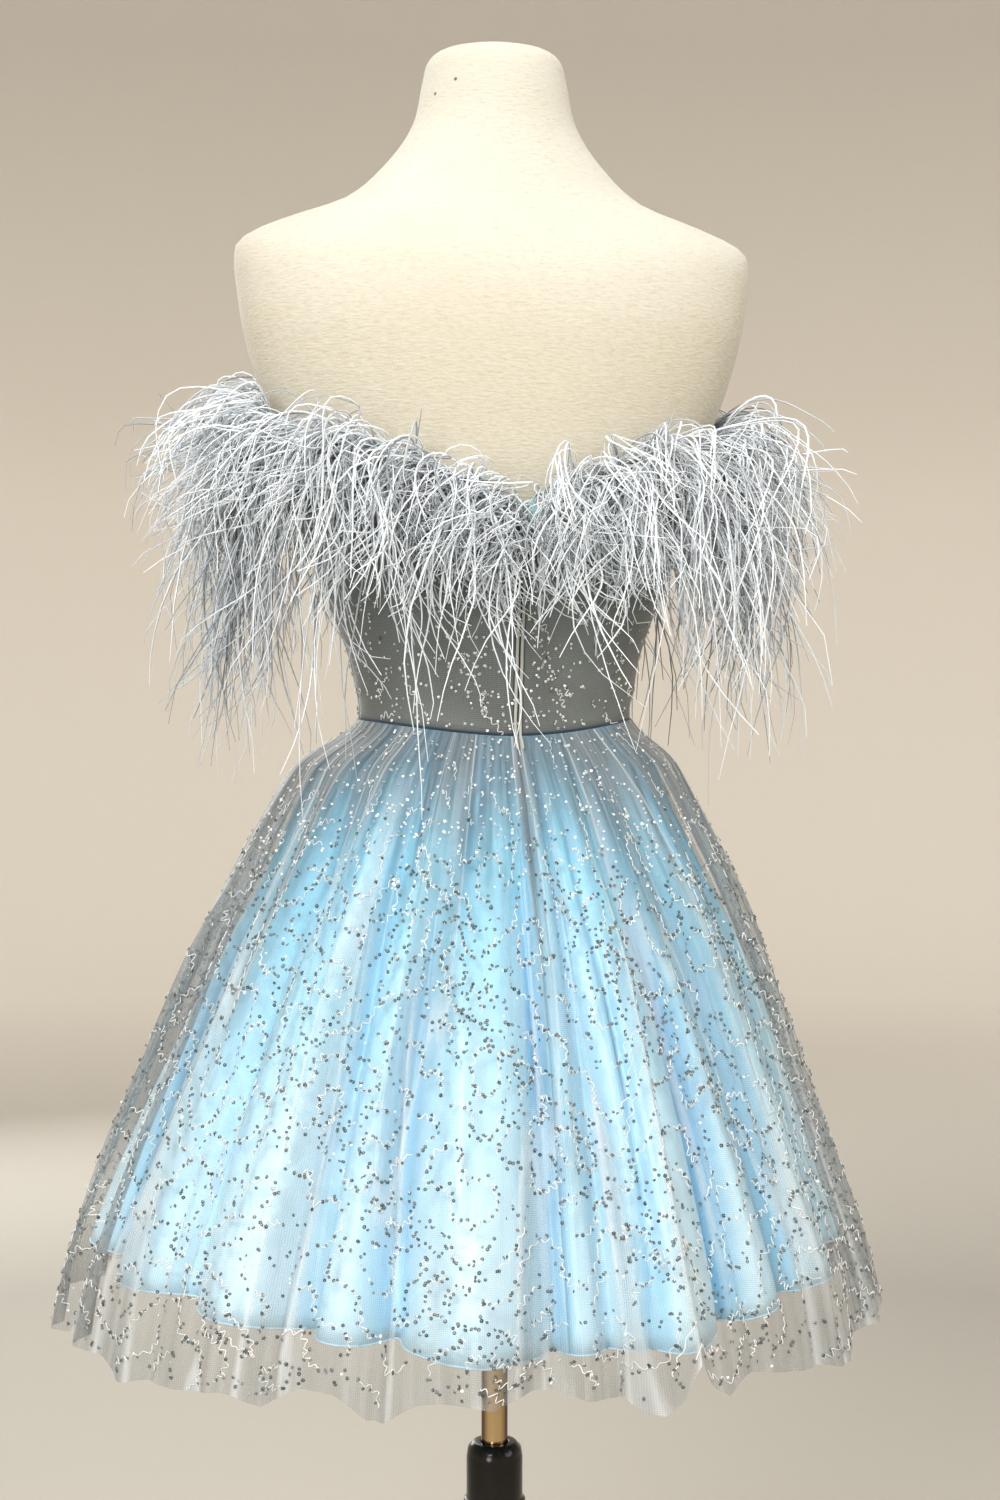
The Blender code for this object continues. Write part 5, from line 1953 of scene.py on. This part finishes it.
def turned_piece(name, profile, material, bevel):
    """A closed turned solid from its profile, which starts and ends on the axis or on the bore."""
    turns = np.linspace(0, 2 * np.pi, TURNED_SIDES, endpoint=False)
    mesh = bpy.data.meshes.new(name)
    made = bpy.data.objects.new(name, mesh)
    bpy.context.scene.collection.objects.link(made)
    bm = bmesh.new()
    rings = []
    for radius, height in profile:
        if radius == 0:
            rings.append([bm.verts.new((0, 0, height))])
        else:
            rings.append([bm.verts.new((radius * math.sin(t), radius * math.cos(t), height)) for t in turns])
    closed = profile[0][0] > 0
    pairs = list(zip(rings, rings[1:])) + ([(rings[-1], rings[0])] if closed else [])
    for high, low in pairs:
        for j in range(TURNED_SIDES):
            k = (j + 1) % TURNED_SIDES
            corners = [high[j % len(high)], high[k % len(high)], low[k % len(low)], low[j % len(low)]]
            bm.faces.new(list(dict.fromkeys(corners)))
    bmesh.ops.recalc_face_normals(bm, faces=bm.faces)
    bm.to_mesh(mesh)
    bm.free()
    mesh.materials.append(material)
    mesh.shade_smooth()
    mesh.set_sharp_from_angle(angle=SHARP_FROM)
    edge = made.modifiers.new("rounded edges", "BEVEL")
    edge.width = bevel
    edge.segments = 3
    edge.limit_method = "ANGLE"
    edge.angle_limit = ROUNDED_FROM
    return made


base = turned_piece(
    "base_turning",
    (
        (0, HUB_TOP),
        (HUB_RADIUS - 0.004, HUB_TOP),
        (HUB_RADIUS, HUB_TOP - 0.004),
        (HUB_RADIUS + 0.002, 0.034),
        (0.044, 0.027),
        (0.055, 0.022),
        (0.080, 0.0185),
        (0.120, 0.015),
        (BASE_RADIUS - 0.006, 0.011),
        (BASE_RADIUS - 0.001, 0.0085),
        (BASE_RADIUS, 0.006),
        (BASE_RADIUS - 0.003, 0),
        (0, 0),
    ),
    satin_black_finish,
    BASE_ROUNDING,
)
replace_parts(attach(base, "stand"), "stand_base")
column = turned_piece(
    "column_turning",
    (
        (BORE_RADIUS, SLEEVE_TOP),
        (SLEEVE_RADIUS - 0.005, SLEEVE_TOP),
        (SLEEVE_RADIUS - 0.0012, SLEEVE_TOP - 0.004),
        (SLEEVE_RADIUS, SLEEVE_TOP - 0.011),
        (SLEEVE_RADIUS, COLUMN_TOP + 0.0015),
        (COLUMN_RADIUS, COLUMN_TOP),
        (COLUMN_RADIUS, HUB_TOP + GAP),
        (BORE_RADIUS, HUB_TOP + GAP),
    ),
    gloss_black_finish,
    FINE_ROUNDING,
)
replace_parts(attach(column, "stand"), "stand_column")
pole = turned_piece(
    "pole_turning",
    ((0, pole_high.z), (POLE_RADIUS, pole_high.z), (POLE_RADIUS, pole_low.z), (0, pole_low.z)),
    brass_finish,
    FINE_ROUNDING,
)
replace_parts(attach(pole, "pole"), "pole")
print(f"pole from {pole_low.z:.3f} to {pole_high.z:.3f} m")

# %% [markdown]
# The zip's slider and pull are small and exact in the CAD model already, so they stay and only take a finish.

# %% Slider and pull
for node in ("zip_slider", "zip_pull"):
    part = frame["nodes"][node]
    part.data.materials.clear()
    part.data.materials.append(zip_metal_finish)

# %% [markdown]
# ## Studio
# The dress stands in a plain warm-grey studio: a floor that curves up into a wall all the way round, far enough
# out that a camera can walk round the dress inside it. The floor is painted darker than the wall as painted shade,
# and lightens towards it, and high up the wall is painted darker again, also as painted shade.

# %% Floor and wall
WALL_RADIUS = 8.0
WALL_CURVE = 2.0
WALL_TOP = 9.0
FLOOR_RINGS = (0.05, 2.0, 4.0)
STUDIO_SIDES = 96
WALL_PAINT = ((0.73, 0.685, 0.61), (0.76, 0.715, 0.64))
HIGH_WALL_PAINTED_SHADE = (0.55, 0.51, 0.455)
FLOOR_PAINTED_SHADE = ((0.42, 0.395, 0.345), (0.345, 0.325, 0.285))


def make_studio():
    """The floor and wall in one sheet, and their paint with its painted shade."""
    turn = np.linspace(0, math.pi / 2, 13)
    bend = WALL_RADIUS - WALL_CURVE + WALL_CURVE * np.sin(turn)
    radius = np.concatenate([FLOOR_RINGS, bend, [WALL_RADIUS]])
    height = np.concatenate([[0.0] * len(FLOOR_RINGS), WALL_CURVE - WALL_CURVE * np.cos(turn), [WALL_TOP]])
    turns = np.linspace(0, 2 * np.pi, STUDIO_SIDES, endpoint=False)
    points = round_axis(radius[:, None], turns, height[:, None])
    material, tree, shader = new_material("studio paint", Roughness=0.95, Specular_IOR_Level=0.1)
    in_room = coordinates(tree)
    wall = blend_colours(tree, noise(tree, in_room, 0.35, 1.0), *WALL_PAINT)
    # painted shade: the wall darker high up, and the floor darker than the wall
    high_up = ramp(tree, along_axes(tree, in_room)["Z"], 1.6, 3.4)
    upper = blend_colours(tree, high_up, wall, HIGH_WALL_PAINTED_SHADE)
    level = stretched(tree, in_room, (1, 1, 0))
    from_stand = add(tree, "ShaderNodeVectorMath", {0: level}, operation="LENGTH").outputs["Value"]
    floor = blend_colours(tree, ramp(tree, from_stand, 1.3, 2.4), *FLOOR_PAINTED_SHADE)
    painted = blend_colours(tree, ramp(tree, from_stand, 2.4, 5.8), floor, upper)
    feed(tree, shader, Base_Color=painted)
    studio = grid_object("studio", points[:, ::-1], material, closed=True)
    bm = bmesh.new()
    bm.from_mesh(studio.data)
    lowest = [edge for edge in bm.edges if edge.is_boundary and edge.verts[0].co.z < 0.01]
    bmesh.ops.holes_fill(bm, edges=lowest, sides=0)
    bm.to_mesh(studio.data)
    bm.free()
    studio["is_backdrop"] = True
    return studio


studio = make_studio()

# %% [markdown]
# A large soft light comes from the upper left, like a window, and a weaker one fills from the right. A small one
# lifts the lower skirt, and one in front keeps that side from going dark. The open top lets in an even glow.

# %% Lights
LOW_FILL_SPREAD = 1.0
GLOW_COLOUR = (1.0, 0.975, 0.945, 1)
GLOW_STRENGTH = 1.45


def area_light(name, place_at, aim_at, size, power, colour):
    """A round soft light that looks at a point. Its size is in metres and its power in watts."""
    light = bpy.data.objects.new(name, bpy.data.lights.new(name, "AREA"))
    light.data.shape = "DISK"
    light.data.size = size
    light.data.energy = power
    light.data.color = colour
    light.location = place_at
    light.rotation_mode = "QUATERNION"
    light.rotation_quaternion = (Vector(aim_at) - Vector(place_at)).to_track_quat("-Z", "Y")
    bpy.context.scene.collection.objects.link(light)
    light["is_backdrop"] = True
    return light


area_light("window", (1.7, 2.7, 2.9), (0, 0, 1.0), 1.5, 108, (1.0, 0.985, 0.965))
area_light("room_fill", (-2.6, 1.9, 2.4), (0, 0, 1.4), 2.2, 44, (1.0, 0.985, 0.95))
low_fill = area_light("low_fill", (1.9, 2.7, 1.15), (0, 0, 0.76), 1.2, 3.2, (0.98, 0.99, 1.0))
low_fill.data.spread = LOW_FILL_SPREAD
area_light("front_fill", (0.6, -3.4, 1.9), (0, 0, 1.0), 2.4, 60, (0.97, 0.985, 1.0))

world = bpy.data.worlds.new("glow")
world.use_nodes = True
glow = world.node_tree.nodes["Background"]
glow.inputs["Color"].default_value = GLOW_COLOUR
glow.inputs["Strength"].default_value = GLOW_STRENGTH
bpy.context.scene.world = world
bpy.context.scene.view_settings.view_transform = "Standard"

# %% [markdown]
# ## Finish
# The dressed model's box is written beside the CAD model's, so that the two can be compared.

# %% Sizes and finish
dressed_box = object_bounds()
for axis in range(3):
    low, high = (dressed_box[end][axis] - cad_box[end][axis] for end in (0, 1))
    print(f"{'xyz'[axis]} low {low:.4f} high {high:.4f}")
total = 0
for made in bpy.context.scene.objects:
    if made.type == "MESH" and made.name not in frame["nodes"] and made != studio:
        total += sum(len(face.vertices) - 2 for face in made.data.polygons) * (2 if made.modifiers else 1)
print("triangles added by this script, about", total)
